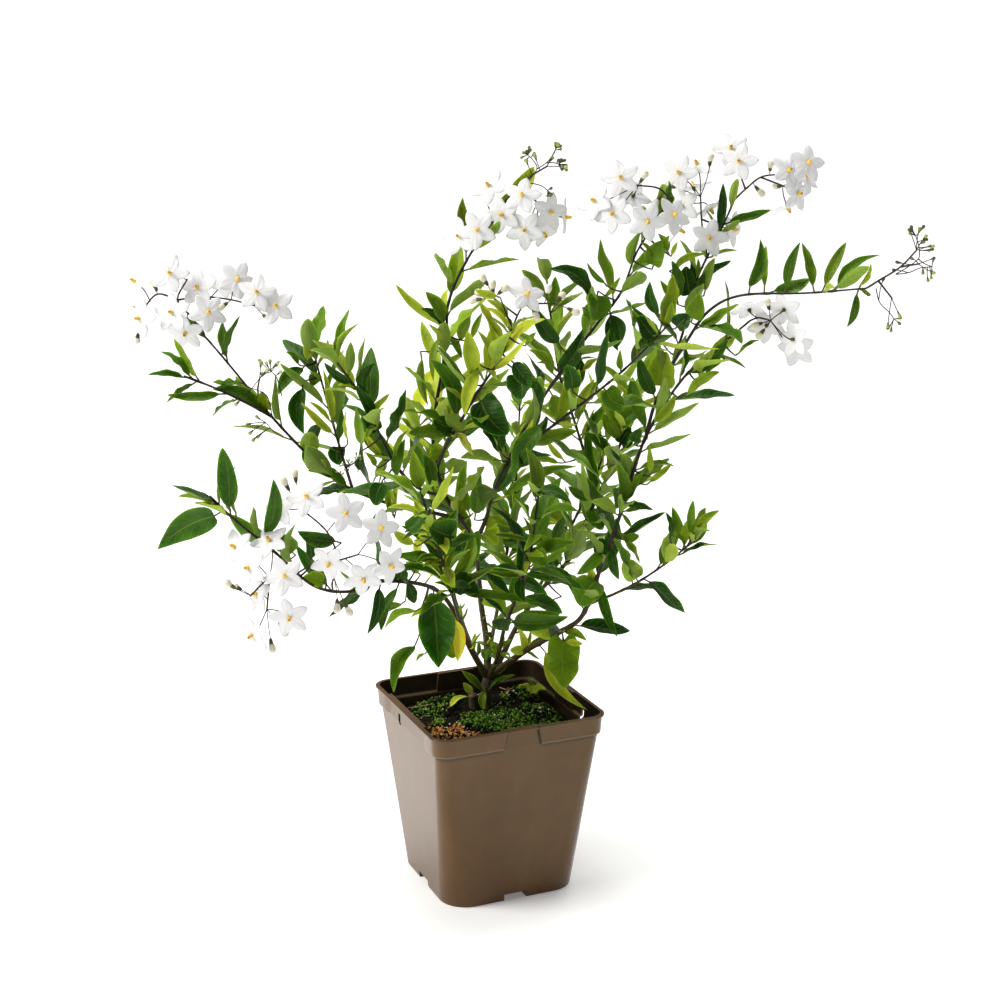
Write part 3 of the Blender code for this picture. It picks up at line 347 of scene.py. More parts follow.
# Petals: white, a little translucent, with a faint crease down each and a green-yellow star at the throat
petalWhite, tree, shader = finish("petalWhite", 0.6, **{
    "Specular IOR Level": 0.2, "Subsurface Weight": 0.2, "Subsurface Radius": (1.0, 1.0, 1.0),
    "Subsurface Scale": 0.002})
crease = stepped(tree, absolute(tree, attribute(tree, "across")), 0.0, 0.22, 1.0, 0.0)
outward = attribute(tree, "along")
colour = blended(tree, stepped(tree, outward, 0.12, 0.34, 0.4, 0.0), (0.75, 0.75, 0.755), (0.55, 0.60, 0.32))
colour = tinted(tree, colour, crease, 0.14, (0.66, 0.69, 0.58))
colour = blended(tree, stepped(tree, outward, 0.8, 1.0, 0.0, 0.4), colour, (0.50, 0.50, 0.53))
spots = placed(tree, mottle, Size=260.0, Contrast=1.0)
colour = tinted(tree, colour, spots["Shade"], 0.14, (0.66, 0.64, 0.72))
tree.links.new(colour, shader.inputs["Base Color"])
ridges = plus(tree, crease, times(tree, spots["Grain"], 0.6))
bumped(tree, shader, ridges, 0.25, 0.0005)

# Anthers: a yellow cone in five furrowed lobes, brown where the pores have opened at its tip
antherYellow, tree, shader = finish("antherYellow", 0.5)
rise, tone = attribute(tree, "along"), attribute(tree, "tone")
colour = ramped(tree, rise, [(0.0, (0.62, 0.42, 0.05)), (0.35, (0.85, 0.50, 0.03)), (0.8, (0.80, 0.38, 0.02)),
                            (1.0, (0.55, 0.22, 0.02))])
colour = blended(tree, times(tree, stepped(tree, rise, 0.55, 0.95), tone), colour, (0.12, 0.05, 0.015))
spots = placed(tree, mottle, Size=700.0, Contrast=1.6)
colour = tinted(tree, colour, spots["Shade"], 0.35, (0.95, 0.70, 0.10))
skinned(tree, shader, colour, spots["Grain"], 0.3, 0.0003)

# Flower stalks, calyces and buds: dark purple stalks, a green-purple cup, then cream petal tissue
budSkin, tree, shader = finish("budSkin", 0.5, **{
    "Specular IOR Level": 0.25, "Subsurface Weight": 0.1, "Subsurface Radius": (1.0, 0.9, 0.8),
    "Subsurface Scale": 0.001})
bloom, tone = attribute(tree, "along"), attribute(tree, "tone")
stalkTone = blended(tree, tone, (0.016, 0.006, 0.008), (0.045, 0.028, 0.012))
cupTone = blended(tree, tone, (0.02, 0.014, 0.008), (0.085, 0.10, 0.022))
petalTone = ramped(tree, attribute(tree, "age"), [(0.0, (0.74, 0.70, 0.58)), (0.5, (0.58, 0.58, 0.36)),
                                                 (0.75, (0.30, 0.42, 0.08)), (1.0, (0.055, 0.075, 0.025))])
colour = blended(tree, stepped(tree, bloom, 0.35, 0.6), stalkTone, cupTone)
colour = blended(tree, stepped(tree, bloom, 1.25, 1.55), colour, petalTone)
spots = placed(tree, mottle, Size=500.0, Contrast=1.8)
colour = tinted(tree, colour, spots["Shade"], 0.12, (0.30, 0.19, 0.14))
skinned(tree, shader, colour, spots["Grain"], 0.25, 0.0003)

# Pot: satin brown plastic with soft blotches and flow streaks, fine scuffs, its inside painted near black as shade
# with a soil film in it, and painted shade and highlight lines at the band
potLines = dict(  # in metres: from where the painted shadow under the band and the painted highlight along its lower edge start to where they end, and the band's break
    under=(0.1155, 0.1184, 0.1194, 0.1198), paintedLipHighlight=(0.1196, 0.1200, 0.1200, 0.1212), banded=(0.0138, 0.0142),
    breakHalf=0.0144, breakFoot=0.1172, breakLean=0.195, paintedShadeWide=(0.0003, 0.0012), paintedShadeFoot=(0.1190, 0.1196),
    leftWall=(-0.058, -0.056), leftMore=0.027,
)
potTaupe, tree, shader = finish("potTaupe", 0.34, **{
    "Specular IOR Level": 0.42, "Specular Tint": (1.0, 0.92, 0.75, 1.0)})
spots = placed(tree, mottle, Size=16.0, Contrast=1.6)
flowPlace = put(tree, "Mapping", {"Vector": objectPlace(tree), "Scale": (1.0, 1.0, 0.3)}).outputs[0]
flow = noise(tree, flowPlace, 38.0, 2.0, 0.5)
colour = ramped(tree, spots["Shade"], [(0.25, (0.080, 0.036, 0.009)), (0.5, (0.090, 0.040, 0.010)),
                                      (0.75, (0.104, 0.048, 0.014))])
colour = blended(tree, stepped(tree, flow, 0.4, 0.75, 0.0, 0.4), colour, (0.115, 0.066, 0.027))
dust = noise(tree, objectPlace(tree), 700.0, 4.0, 0.75)
colour = blended(tree, stepped(tree, dust, 0.55, 0.8, 0.0, 0.05), colour, (0.24, 0.18, 0.12))
axes = put(tree, "SeparateXYZ", {0: objectPlace(tree)}).outputs
high, within = axes["Z"], attribute(tree, "inner")
aside = calc(tree, "MINIMUM", absolute(tree, axes["X"]), absolute(tree, axes["Y"]))
onLeft = stepped(tree, axes["X"], *potLines["leftWall"], 1.0, 0.0)  # on the left wall, where the break is wider
aside = minus(tree, aside, times(tree, onLeft, potLines["leftMore"]))
banded = stepped(tree, aside, *potLines["banded"])
under, paintedLipHighlight = (times(tree, between(tree, high, *potLines[line]), banded) for line in ("under", "paintedLipHighlight"))
# Painted shade in a line beside the break, whose side leans in by a share of the height over its foot; none on the
# left
leaning = times(tree, minus(tree, high, potLines["breakFoot"]), potLines["breakLean"])
fromSide = absolute(tree, minus(tree, aside, minus(tree, potLines["breakHalf"], leaning)))
paintedBreakShade = stepped(tree, fromSide, *potLines["paintedShadeWide"], 1.0, 0.0)
paintedBreakShade = times(tree, paintedBreakShade, stepped(tree, high, *potLines["paintedShadeFoot"]))
paintedBreakShade = times(tree, paintedBreakShade, minus(tree, 1.0, onLeft))
# The inside walls go near black: painted shade of the pot's inside, with a grainy soil film in it
insideShadeAndFilm = plus(tree, 0.8, times(tree, stepped(tree, spots["Grain"], 0.35, 0.6), 0.18))
colour = blended(tree, times(tree, within, insideShadeAndFilm), colour, (0.012, 0.006, 0.002))
# Painted shadow on the wall just under the band
colour = tinted(tree, colour, under, 0.8, (0.030, 0.017, 0.008))
# Painted shade beside the band's break
colour = tinted(tree, colour, paintedBreakShade, 0.85, (0.030, 0.017, 0.008))
# Painted highlight along the band's lower edge
colour = tinted(tree, colour, paintedLipHighlight, 0.5, (0.22, 0.14, 0.075))
splash = times(tree, stepped(tree, high, 0.112, 0.130), stepped(tree, dust, 0.52, 0.66))
colour = tinted(tree, colour, splash, 0.45, (0.05, 0.03, 0.015))
tree.links.new(colour, shader.inputs["Base Color"])
rougher = plus(tree, times(tree, flow, 0.14), times(tree, within, 0.3))
rougher = plus(tree, plus(tree, rougher, 0.17), stepped(tree, dust, 0.5, 0.8, 0.0, 0.03))
tree.links.new(rougher, shader.inputs["Roughness"])
relief = plus(tree, times(tree, flow, 1.2), times(tree, dust, 0.05))
bumped(tree, shader, relief, 0.12, 0.0008)


def grainy(name, stops, size, strength, rough=0.9):  # an earthy finish: mottled colours and a rough skin
    made, tree, shader = finish(name, rough, **{"Specular IOR Level": 0.08})
    spots = placed(tree, mottle, Size=size, Contrast=2.4)
    own = times(tree, attribute(tree, "tone"), 0.4)
    share = plus(tree, times(tree, spots["Shade"], 0.6), own)
    tree.links.new(ramped(tree, share, stops), shader.inputs["Base Color"])
    bumped(tree, shader, spots["Grain"], strength, 0.001)
    return made


peatDark = grainy("peatDark", [(0.15, (0.002, 0.002, 0.001)), (0.5, (0.006, 0.005, 0.002)),
                               (0.85, (0.026, 0.017, 0.008))], 260.0, 1.0)
gritTan = grainy("gritTan", [(0.1, (0.03, 0.010, 0.003)), (0.35, (0.20, 0.065, 0.015)), (0.6, (0.52, 0.24, 0.07)),
                             (0.9, (0.80, 0.52, 0.26))], 420.0, 0.6, 0.8)
speckPale = grainy("speckPale", [(0.1, (0.34, 0.30, 0.22)), (0.5, (0.62, 0.58, 0.48)), (0.9, (0.85, 0.82, 0.74))],
                   500.0, 0.4, 0.75)
strawPale = grainy("strawPale", [(0.1, (0.12, 0.07, 0.035)), (0.5, (0.30, 0.20, 0.10)), (0.9, (0.55, 0.44, 0.28))],
                   300.0, 0.5, 0.75)

# Moss: near black green low between the shoots, which is painted shade over the older growth's own dark green, and
# bright at their tips, the new growth's colour with a painted highlight
mossGreen, tree, shader = finish("mossGreen", 0.65, **{"Specular IOR Level": 0.1})
spots = placed(tree, mottle, Size=140.0, Contrast=1.6)
uneven = times(tree, plus(tree, spots["Shade"], attribute(tree, "tone")), 0.2)
tip = plus(tree, times(tree, attribute(tree, "along"), 0.7), uneven)
colour = ramped(tree, tip, [(0.2, (0.001, 0.003, 0.001)), (0.55, (0.004, 0.017, 0.001)),
                           (0.80, (0.012, 0.050, 0.002)), (1.0, (0.20, 0.32, 0.03))])
skinned(tree, shader, colour, spots["Grain"], 0.4, 0.0005)

# Studio floor
floorPale, tree, shader = finish("floorPale", 0.8, **{"Emission Strength": 0.16, "Emission Color": (1, 1, 1, 1)})
colour = blended(tree, noise(tree, objectPlace(tree), 3.0), studio["floorColour"], studio["floorCloud"])
tree.links.new(colour, shader.inputs["Base Color"])
print("finishes made:", len(bpy.data.materials))


# Shapes
def lofted(rings, start, end, **values):
    # n closed tubes at once: rings (n, r, a, 3) joined in turn, and closed onto a point at each end.
    # Each value has the rings' shape, or a shape that spreads to it; the end points take their rings' means
    n, r, a = rings.shape[:3]
    points = np.concatenate([rings.reshape(n, r * a, 3), start[:, None], end[:, None]], 1)
    low = np.arange(r - 1)[:, None] * a
    j = np.arange(a)
    k = (j + 1) % a
    quads = np.stack([low + j, low + k, low + a + k, low + a + j], -1)
    quads[:, a // 2:] = np.roll(quads[:, a // 2:], -1, -1)  # both faces of a blade split the same way
    quads = quads.reshape(-1, 4)
    last = (r - 1) * a
    tris = np.concatenate([np.stack([k, j, j * 0 + r * a], -1),
                           np.stack([last + j, last + k, j * 0 + r * a + 1], -1)])
    step = np.arange(n)[:, None, None] * (r * a + 2)
    spread = {}
    for name, value in values.items():
        full = np.broadcast_to(value, (n, r, a))
        ends = full[:, 0].mean(1), full[:, -1].mean(1)
        spread[name] = np.concatenate([full.reshape(n, r * a), ends[0][:, None], ends[1][:, None]], 1).ravel()
    return dict(points=points.reshape(-1, 3), quads=(quads + step).reshape(-1, 4),
                tris=(tris + step).reshape(-1, 3), values=spread)


def piece(name, shapes, material, slot, *replaced):
    # One smooth mesh of several shapes, in metres, riding on the root body
    names = sorted({key for shape in shapes for key in shape["values"]})
    first = np.cumsum([0] + [len(shape["points"]) for shape in shapes])
    points = np.concatenate([shape["points"] for shape in shapes]) * mm
    quads = np.concatenate([shape["quads"] + start for shape, start in zip(shapes, first)])
    tris = np.concatenate([shape["tris"] + start for shape, start in zip(shapes, first)])
    corners = np.concatenate([quads.ravel(), tris.ravel()])
    starts = np.concatenate([np.arange(len(quads)) * 4, len(quads) * 4 + np.arange(len(tris)) * 3])
    mesh = bpy.data.meshes.new(name)
    mesh.vertices.add(len(points))
    mesh.vertices.foreach_set("co", points.ravel())
    mesh.loops.add(len(corners))
    mesh.loops.foreach_set("vertex_index", corners.astype(np.int32))
    mesh.polygons.add(len(starts))
    mesh.polygons.foreach_set("loop_start", starts.astype(np.int32))
    mesh.polygons.foreach_set("use_smooth", np.ones(len(starts), bool))
    mesh.update(calc_edges=True)
    for key in names:
        parts = [shape["values"].get(key, np.zeros(len(shape["points"]))) for shape in shapes]
        mesh.attributes.new(key, "FLOAT", "POINT").data.foreach_set("value", np.concatenate(parts))
    mesh.materials.append(material)
    made = linked(name, mesh)
    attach(made, "root")
    if replaced:
        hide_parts(*replaced)


def spokes(turn, side, other):  # at these turns from side to other, two directions square to each other
    return np.cos(turn)[..., None] * side[:, None, None] + np.sin(turn)[..., None] * other[:, None, None]


def squareTo(along, face):  # the direction square to along that is nearest to face
    return unit(face - along * face.dot(along))


def swing(k):  # 0, -1, 1, -2, 2 and so on
    return (k // 2 + k % 2) * (-1) ** k


def ownWord(name):  # a node's name without its first word, as it ends the names of its pieces
    return name.split("_", 1)[1].title().replace("_", "")


spareAxes = unit(np.array([(1, 0, 0), (0, 1, 0), (0, 0, 1), (1, 1, 0), (1, -1, 0), (0, 1, 1), (1, 0, 1)], float))


def tubes(paths, radii, sides, **values):
    # n tubes along paths (n, r, 3): circles of radii (n, r) square to each path, set out from the one
    # spare axis that stays furthest from the path's directions
    along = unit(np.gradient(paths, axis=1))
    nearness = np.abs(np.einsum("nrc,kc->nrk", along, spareAxes)).max(1)
    axis = spareAxes[nearness.argmin(1)][:, None]
    side = unit(axis - along * (along * axis).sum(-1, keepdims=True))
    other = np.cross(along, side)
    angle = np.linspace(0, 2 * math.pi, sides, endpoint=False)[:, None]
    ring = np.cos(angle) * side[:, :, None] + np.sin(angle) * other[:, :, None]
    rings = paths[:, :, None] + radii[:, :, None, None] * ring
    ends = (paths[:, 0] - along[:, 0] * radii[:, :1] * 0.3, paths[:, -1] + along[:, -1] * radii[:, -1:] * 0.3)
    return lofted(rings, *ends, **{key: np.asarray(value)[..., None] for key, value in values.items()})


class Route:  # a smooth curve through set points, with its place and direction at a distance along it
    def __init__(self, points, turn=True):
        ends = turned(points) if turn else np.asarray(points, float)
        held = np.concatenate([2 * ends[:1] - ends[1:2], ends, 2 * ends[-1:] - ends[-2:-1]])
        t = np.linspace(0, 1, 24, endpoint=False)[:, None]
        spans = []
        for a, b, c, d in zip(held, held[1:], held[2:], held[3:]):
            spans.append(0.5 * (2 * b + (c - a) * t + (2 * a - 5 * b + 4 * c - d) * t**2
                                + (3 * b - 3 * c + d - a) * t**3))
        self.dense = np.concatenate(spans + [ends[-1:]])
        steps = np.linalg.norm(np.diff(self.dense, axis=0), axis=1)
        self.distance = np.concatenate([[0], np.cumsum(steps)])
        self.length = self.distance[-1]

    def point(self, s):
        return np.stack([np.interp(s, self.distance, self.dense[:, axis]) for axis in range(3)], -1)

    def direction(self, s):
        s = min(max(s, 1.0), self.length - 1.0)
        return unit(self.point(s + 1) - self.point(s - 1))

    def nearest(self, place):
        return self.distance[np.linalg.norm(self.dense - place, axis=1).argmin()]


def lumps(x, y, scale, seed):  # value noise: random heights on a grid of this scale, smoothly joined
    size = 64  # the grid repeats after as many steps
    grid = np.random.RandomState(seed).rand(size, size) * 2 - 1
    x, y = np.asarray(x) / scale + 31.7, np.asarray(y) / scale + 17.3
    i, j = np.floor(x).astype(int), np.floor(y).astype(int)
    u, v = x - i, y - j
    u, v = u * u * (3 - 2 * u), v * v * (3 - 2 * v)
    i0, j0, i1, j1 = i % size, j % size, (i + 1) % size, (j + 1) % size
    low = grid[i0, j0] * (1 - u) + grid[i1, j0] * u
    high = grid[i0, j1] * (1 - u) + grid[i1, j1] * u
    return low * (1 - v) + high * v


def vertexValues(mesh, key="co"):  # three numbers for each vertex
    found = np.empty(len(mesh.vertices) * 3)
    mesh.vertices.foreach_get(key, found)
    return found.reshape(-1, 3)


cadPoints = {name: vertexValues(node.data) / mm for name, node in nodes.items()}


def hasPoint(name, place, within=0.25):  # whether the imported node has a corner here
    return np.abs(cadPoints[name] - place).max(1).min() < within


# Pot: rounded square rings joined upwards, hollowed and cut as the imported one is, then its edges eased
pot = dict(
    rimSide=130.0, height=133.7, baseSide=99.9, wall=1.6, floor=1.8, baseCorner=20.0, topCorner=9.0,
    bandLow=119.2, bandOut=2.0, lipTall=2.0, wallTopSide=122.0, bandTopSide=127.4, breakWide=(28.0, 22.5),
    breakMore={3: 42.0}, breakFlare={3: 3.0},  # by quarters from the front wall, which is 0, as slotOff is too
    slotWide=3.9, slotTall=8.0, slotOff={1: -28.0, 3: -15.2}, slotDrop=6.4, notchWide=17.0, notchTall=5.0,
    notchDeep=9.0, drainWide=9.0, drainTall=2.6, cornerSteps=10, easing=0.45, easedAngle=28,
)


def squareRings(sides, corners, heights, steps):
    # A rounded square at each height: four quarter circles on the corners of an inner square
    sides, corners, heights = (np.asarray(value, float)[:, None, None] for value in (sides, corners, heights))
    angle = np.linspace(0, math.pi / 2, steps + 1)[None] + np.arange(4)[:, None] * math.pi / 2
    right, back = np.array([1, -1, -1, 1])[:, None], np.array([1, 1, -1, -1])[:, None]
    x = right * (sides / 2 - corners) + corners * np.cos(angle)
    y = back * (sides / 2 - corners) + corners * np.sin(angle)
    return np.stack([x, y, heights + 0 * x], -1).reshape(len(sides), -1, 3)


def cappedObject(name, rings, collection=None):  # rings joined upwards with flat ends
    count, ends = rings.shape[1], len(rings)
    low = np.arange(ends - 1)[:, None] * count
    j = np.arange(count)
    k = (j + 1) % count
    quads = np.stack([low + j, low + k, low + count + k, low + count + j], -1).reshape(-1, 4)
    mesh = bpy.data.meshes.new(name)
    faces = quads.tolist() + [j[::-1].tolist(), (j + (ends - 1) * count).tolist()]
    mesh.from_pydata((rings.reshape(-1, 3) * mm).tolist(), [], faces)
    return linked(name, mesh, collection)


def block(wideLow, wideHigh, near, far, low, high, quarter, off=0.0, flare=0.0):
    # The rings of a block on the front wall, from depth near to far, turned to another wall by quarters
    more = flare * (far - near)
    rings = np.array([[(-wide / 2 - more, -far, z), (wide / 2 + more, -far, z), (wide / 2, -near, z),
                       (-wide / 2, -near, z)] for z, wide in ((low, wideLow), (high, wideHigh))], float)
    x, y, z = np.moveaxis(rings, -1, 0)
    x = x + off
    for _ in range(quarter):
        x, y = -y, x
    return np.stack([x, y, z], -1)


def settled(made):  # the evaluated mesh in place of the object's own, with no modifiers left
    mesh = bpy.data.meshes.new_from_object(made.evaluated_get(bpy.context.evaluated_depsgraph_get()))
    made.modifiers.clear()
    made.data = mesh


def cutBy(made, blocks):
    hold = bpy.data.collections.new("cutters")
    bpy.context.scene.collection.children.link(hold)
    for rings in blocks:
        cappedObject("cutter", rings, hold)
    change = made.modifiers.new("cut", "BOOLEAN")
    change.operation, change.operand_type, change.collection = "DIFFERENCE", "COLLECTION", hold
    settled(made)
    for other in list(hold.objects):
        bpy.data.objects.remove(other)
    bpy.data.collections.remove(hold)


def wallSide(z):  # outer side of the plain wall at a height
    return pot["baseSide"] + (pot["wallTopSide"] - pot["baseSide"]) * z / pot["bandLow"]


def innerSide(z):
    return wallSide(z) - 2 * pot["wall"]


def innerCorner(z):
    return pot["baseCorner"] + (pot["topCorner"] - pot["baseCorner"]) * z / pot["bandLow"] - pot["wall"]


def makePot():
    p = pot
    lipZ = p["height"] - p["lipTall"]
    bandSide, bandCorner = p["wallTopSide"] + 2 * p["bandOut"], p["topCorner"] + p["bandOut"]
    outside = squareRings(
        [p["baseSide"] - 1.4, p["baseSide"] - 0.3, p["baseSide"], p["wallTopSide"], bandSide, p["bandTopSide"],
         p["rimSide"], p["rimSide"], p["rimSide"] - 0.35, p["rimSide"] - 1.2],
        [p["baseCorner"] - 0.7, p["baseCorner"] - 0.2, p["baseCorner"], p["topCorner"], bandCorner, bandCorner,
         bandCorner + 1, bandCorner + 1, bandCorner + 0.8, bandCorner + 0.4],
        [0.0, 0.3, 1.0, p["bandLow"], p["bandLow"] + 0.4, lipZ, lipZ + 0.5, p["height"] - 0.6,
         p["height"] - 0.17, p["height"]], p["cornerSteps"])
    inside = squareRings(
        [innerSide(p["floor"]), innerSide(p["bandLow"]), bandSide - 2 * p["wall"], p["bandTopSide"] - 2 * p["wall"]],
        [innerCorner(p["floor"]), innerCorner(p["bandLow"]), bandCorner - p["wall"], bandCorner - p["wall"]],
        [p["floor"], p["bandLow"], p["bandLow"] + 2, p["height"] + 2], p["cornerSteps"])
    plain = wallSide(p["bandLow"]) / 2 + 0.4
    far, notchNear = p["rimSide"], p["baseSide"] / 2 - p["notchDeep"]
    backs, cuts = [], []
    for quarter in range(4):
        low, high = (wide + p["breakMore"].get(quarter, 0.0) for wide in p["breakWide"])
        backs.append(block(low + 4, high + 4, plain - p["wall"], far, p["bandLow"] - 3, p["height"] + 5, quarter))
        hoodWide = p["notchWide"] + 2 * p["wall"]
        backs.append(block(hoodWide, hoodWide, notchNear - p["wall"], p["baseSide"] / 2 + 5, -1,
                           p["notchTall"] + p["wall"], quarter))
        cuts.append(block(low, high, plain, far, p["bandLow"] - 2, lipZ - 0.4, quarter, 0.0,
                          p["breakFlare"].get(quarter, 0.0)))
        cuts.append(block(p["notchWide"], p["notchWide"], notchNear, far, -1, p["notchTall"], quarter))
        cuts.append(block(p["drainWide"], p["drainWide"], notchNear - 2 * p["wall"], far, p["floor"] + 0.4,
                          p["floor"] + p["drainTall"], quarter))
    for quarter in (1, 3):
        slotTop = lipZ - p["slotDrop"]
        cuts.append(block(p["slotWide"], p["slotWide"], plain - 3 * p["wall"], far, slotTop - p["slotTall"],
                          slotTop, quarter, p["slotOff"][quarter]))
    hollow = cappedObject("potHollow", inside)
    cutBy(hollow, backs)
    made = cappedObject("potShell", outside)
    change = made.modifiers.new("hollow", "BOOLEAN")
    change.operation, change.object = "DIFFERENCE", hollow
    settled(made)
    bpy.data.objects.remove(hollow)
    cutBy(made, cuts)
    eased = made.modifiers.new("eased", "BEVEL")
    eased.width, eased.segments, eased.limit_method = p["easing"] * mm, 2, "ANGLE"
    eased.angle_limit = math.radians(p["easedAngle"])
    settled(made)
    made.data.shade_smooth()
    level = made.modifiers.new("level", "WEIGHTED_NORMAL")  # the flat walls keep their own normals
    level.mode, level.weight = "FACE_AREA", 100
    settled(made)
    outward, normals = unit(vertexValues(made.data)[:, :2] + 1e-9), vertexValues(made.data, "normal")
    inner = np.clip(-2 * (outward * normals[:, :2]).sum(1), 0, 1)  # 1 where a wall faces inwards
    made.data.attributes.new("inner", "FLOAT", "POINT").data.foreach_set("value", inner.astype(np.float32))
    made.data.materials.clear()
    made.data.materials.append(potTaupe)
    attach(made, "root")
    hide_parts("pot")


makePot()
print("pot made")

# Soil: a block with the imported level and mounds, roughened by three sizes of noise
soil = dict(
    level=114.0, gap=0.3, columns=28, rows=64, lumpy=((9.0, 1.0, 3), (3.2, 0.7, 5), (1.3, 0.35, 8)),
    mounds=((10, -34, 8.0, 22), (34, -6, 6.5, 16), (-22, -14, 4.0, 20), (-30, 34, 3.0, 18), (30, 36, 3.5, 18),
            (-14, 52, 4.0, 20), (38, 50, 3.5, 22)),
)


def soilHeight(x, y):  # the level, plus each mound's bell of height and spread
    height = np.full(np.shape(x), soil["level"])
    for across, away, tall, spread in soil["mounds"]:
        height = height + tall * np.exp(-((x - across) ** 2 + (y - away) ** 2) / spread**2)
    return height


def groundAt(x, y):  # the roughened top, calmer near the walls
    reach = np.maximum(np.abs(x), np.abs(y)) / (innerSide(soil["level"]) / 2)
    rough = sum(tall * lumps(x, y, size, seed) for size, tall, seed in soil["lumpy"])
    sag = 2.0 * ease(reach, 0.8, 1.0)
    return soilHeight(x, y) + rough * (1 - 0.6 * ease(reach, 0.93, 1.0)) - sag


def makeSoil():
    top = soil["level"] - 3
    bottom = pot["floor"] + pot["notchTall"] + pot["wall"] + soil["gap"]
    steps = soil["columns"]
    walls = squareRings([innerSide(bottom) - 2 * soil["gap"], innerSide(top) - 2 * soil["gap"]],
                        [innerCorner(bottom) - soil["gap"], innerCorner(top) - soil["gap"]], [bottom, top], steps)
    edge = walls[1]
    shares = np.linspace(0.995, 0.012, soil["rows"])[:, None, None]
    rings = edge[None] * shares
    rings[..., 2] = groundAt(rings[..., 0], rings[..., 1])
    rings = np.concatenate([walls, rings])[None]
    middle = np.zeros((1, 3))
    start, end = middle + (0, 0, bottom), middle + (0, 0, float(groundAt(0.0, 0.0)))
    tone = 0.5 + 0.5 * lumps(rings[..., 0], rings[..., 1], 2.5, 12)
    piece("soilBed", [lofted(rings, start, end, tone=tone)], peatDark, "soil", "soil")


makeSoil()
print("soil made")

# What lies on the soil, each with its places as (x, y, reach) in mm
ground = dict(
    seed=17, half=52.0,
    moss=dict(count=2000, tall=(1.6, 3.8), wide=(1.0, 2.1),
              places=((10, -32, 22), (34, -10, 19), (12, 6, 17), (-12, -4, 13), (46, 22, 13), (48, 40, 9),
                      (-32, 32, 13), (-16, 42, 12), (-8, -30, 13), (-36, 10, 7), (20, 24, 12), (28, -38, 14),
                      (-4, 12, 12))),
    grit=dict(count=330, size=(0.5, 1.5),
              places=((-41, -2, 9), (-29, -10, 7), (-30, -22, 10), (-40, -22, 10), (-44, 12, 5), (-22, -30, 6))),
    specks=dict(count=300, size=(0.35, 1.0),
                places=((0, 0, 52), (-20, 46, 14), (38, 40, 16), (44, 8, 12), (-40, 30, 12), (20, 30, 10))),
    crumbs=dict(count=620, size=(0.6, 2.0), places=((0, 0, 52), (30, 36, 20), (-10, 44, 18), (-40, -30, 14))),
    threads=(((24, 34), (36, 40), (47, 37), (52, 30)), ((30, 48), (33, 42), (39, 44), (36, 50)),
             ((42, 48), (47, 44), (51, 49)), ((-44, 44), (-34, 36), (-27, 38)), ((38, 22), (46, 14), (51, 16)),
             ((-48, 20), (-40, 24), (-36, 20)), ((6, 48), (14, 52), (24, 49))),
)


def scattered(look, rng):  # random spots round the given places, no nearer the walls than the half allows
    x, y, reach = np.array(look["places"], float).T
    pick = rng.choice(len(x), look["count"] * 2, p=reach**1.6 / (reach**1.6).sum())
    away, turn = reach[pick] * np.sqrt(rng.rand(len(pick))), rng.rand(len(pick)) * 2 * math.pi
    spots = np.stack([x[pick] + away * np.cos(turn), y[pick] + away * np.sin(turn)], -1)
    spots = spots[np.abs(spots).max(1) < ground["half"]][:look["count"]]
    return np.concatenate([spots, groundAt(*spots.T)[:, None]], 1)


def spun(rng, n):  # n random sets of three square directions
    first = unit(rng.normal(size=(n, 3)))
    second = unit(np.cross(first, rng.normal(size=(n, 3))))
    return first, second, np.cross(first, second)


def pebbles(look, rng, sink=0.2):  # stretched and jittered balls of three rings of six
    spots = scattered(look, rng)
    n = len(spots)
    first, second, third = (axis[:, None, None] for axis in spun(rng, n))
    size = rng.uniform(*look["size"], n)[:, None, None]
    lat = np.radians([-48.0, 2.0, 50.0])[None, :, None] + rng.uniform(-0.2, 0.2, (n, 3, 1))
    turn = np.linspace(0, 2 * math.pi, 6, endpoint=False)[None, None] + rng.uniform(-0.3, 0.3, (n, 3, 6))
    wide = size * rng.uniform(0.75, 1.2, (n, 3, 6))
    stretch = rng.uniform(0.7, 1.35, (n, 1, 1))
    rings = ((wide * np.cos(lat) * np.cos(turn))[..., None] * first * stretch[..., None]
             + (wide * np.cos(lat) * np.sin(turn))[..., None] * second
             + (wide * np.sin(lat))[..., None] * third)
    middle = spots + np.array([0, 0, 1]) * size[:, 0] * (0.5 - sink)
    poles = size[:, 0] * 0.95 * third[:, 0, 0]
    tone = rng.rand(n)[:, None, None]
    return lofted(middle[:, None, None] + rings, middle - poles, middle + poles, tone=tone)


def mossTufts(look, rng):  # leafy rosettes: every other of eight columns stands out, in three rings
    spots = scattered(look, rng)
    n = len(spots)
    uneven = 0.7 + 0.6 * lumps(*spots[:, :2].T, 6.0, 31)[:, None, None]
    tall = rng.uniform(*look["tall"], n)[:, None, None] * uneven
    wide = rng.uniform(*look["wide"], n)[:, None, None]
    rows = np.array([0.0, 0.45, 0.85])[None, :, None]
    leafy = np.array([[1.0, 0.45] * 4, [0.95, 0.35] * 4, [0.45, 0.2] * 4])[None]
    lean = rng.normal(0, 0.28, (n, 2))
    axis = unit(np.concatenate([lean, np.ones((n, 1))], 1))
    side = unit(np.cross(axis, rng.normal(size=(n, 3))))
    other = np.cross(axis, side)
    turn = np.linspace(0, 2 * math.pi, 8, endpoint=False)[None, None]
    spoke = spokes(turn, side, other)
    reach = wide * leafy * rng.uniform(0.8, 1.2, (n, 3, 8))
    high = tall * (rows + 0.18 * (leafy > 0.4)) * np.ones((n, 3, 8))
    rings = (spots[:, None, None] + spoke * reach[..., None] + high[..., None] * axis[:, None, None]
             - np.array([0, 0, 0.6]))
    top = spots + axis * tall[:, 0] * 1.1
    rise = np.array([0.0, 0.5, 0.9])[None, :, None] + 0.1 * (leafy > 0.4)
    return lofted(rings, spots - (0, 0, 1.0), top, along=rise, tone=rng.rand(n)[:, None, None])


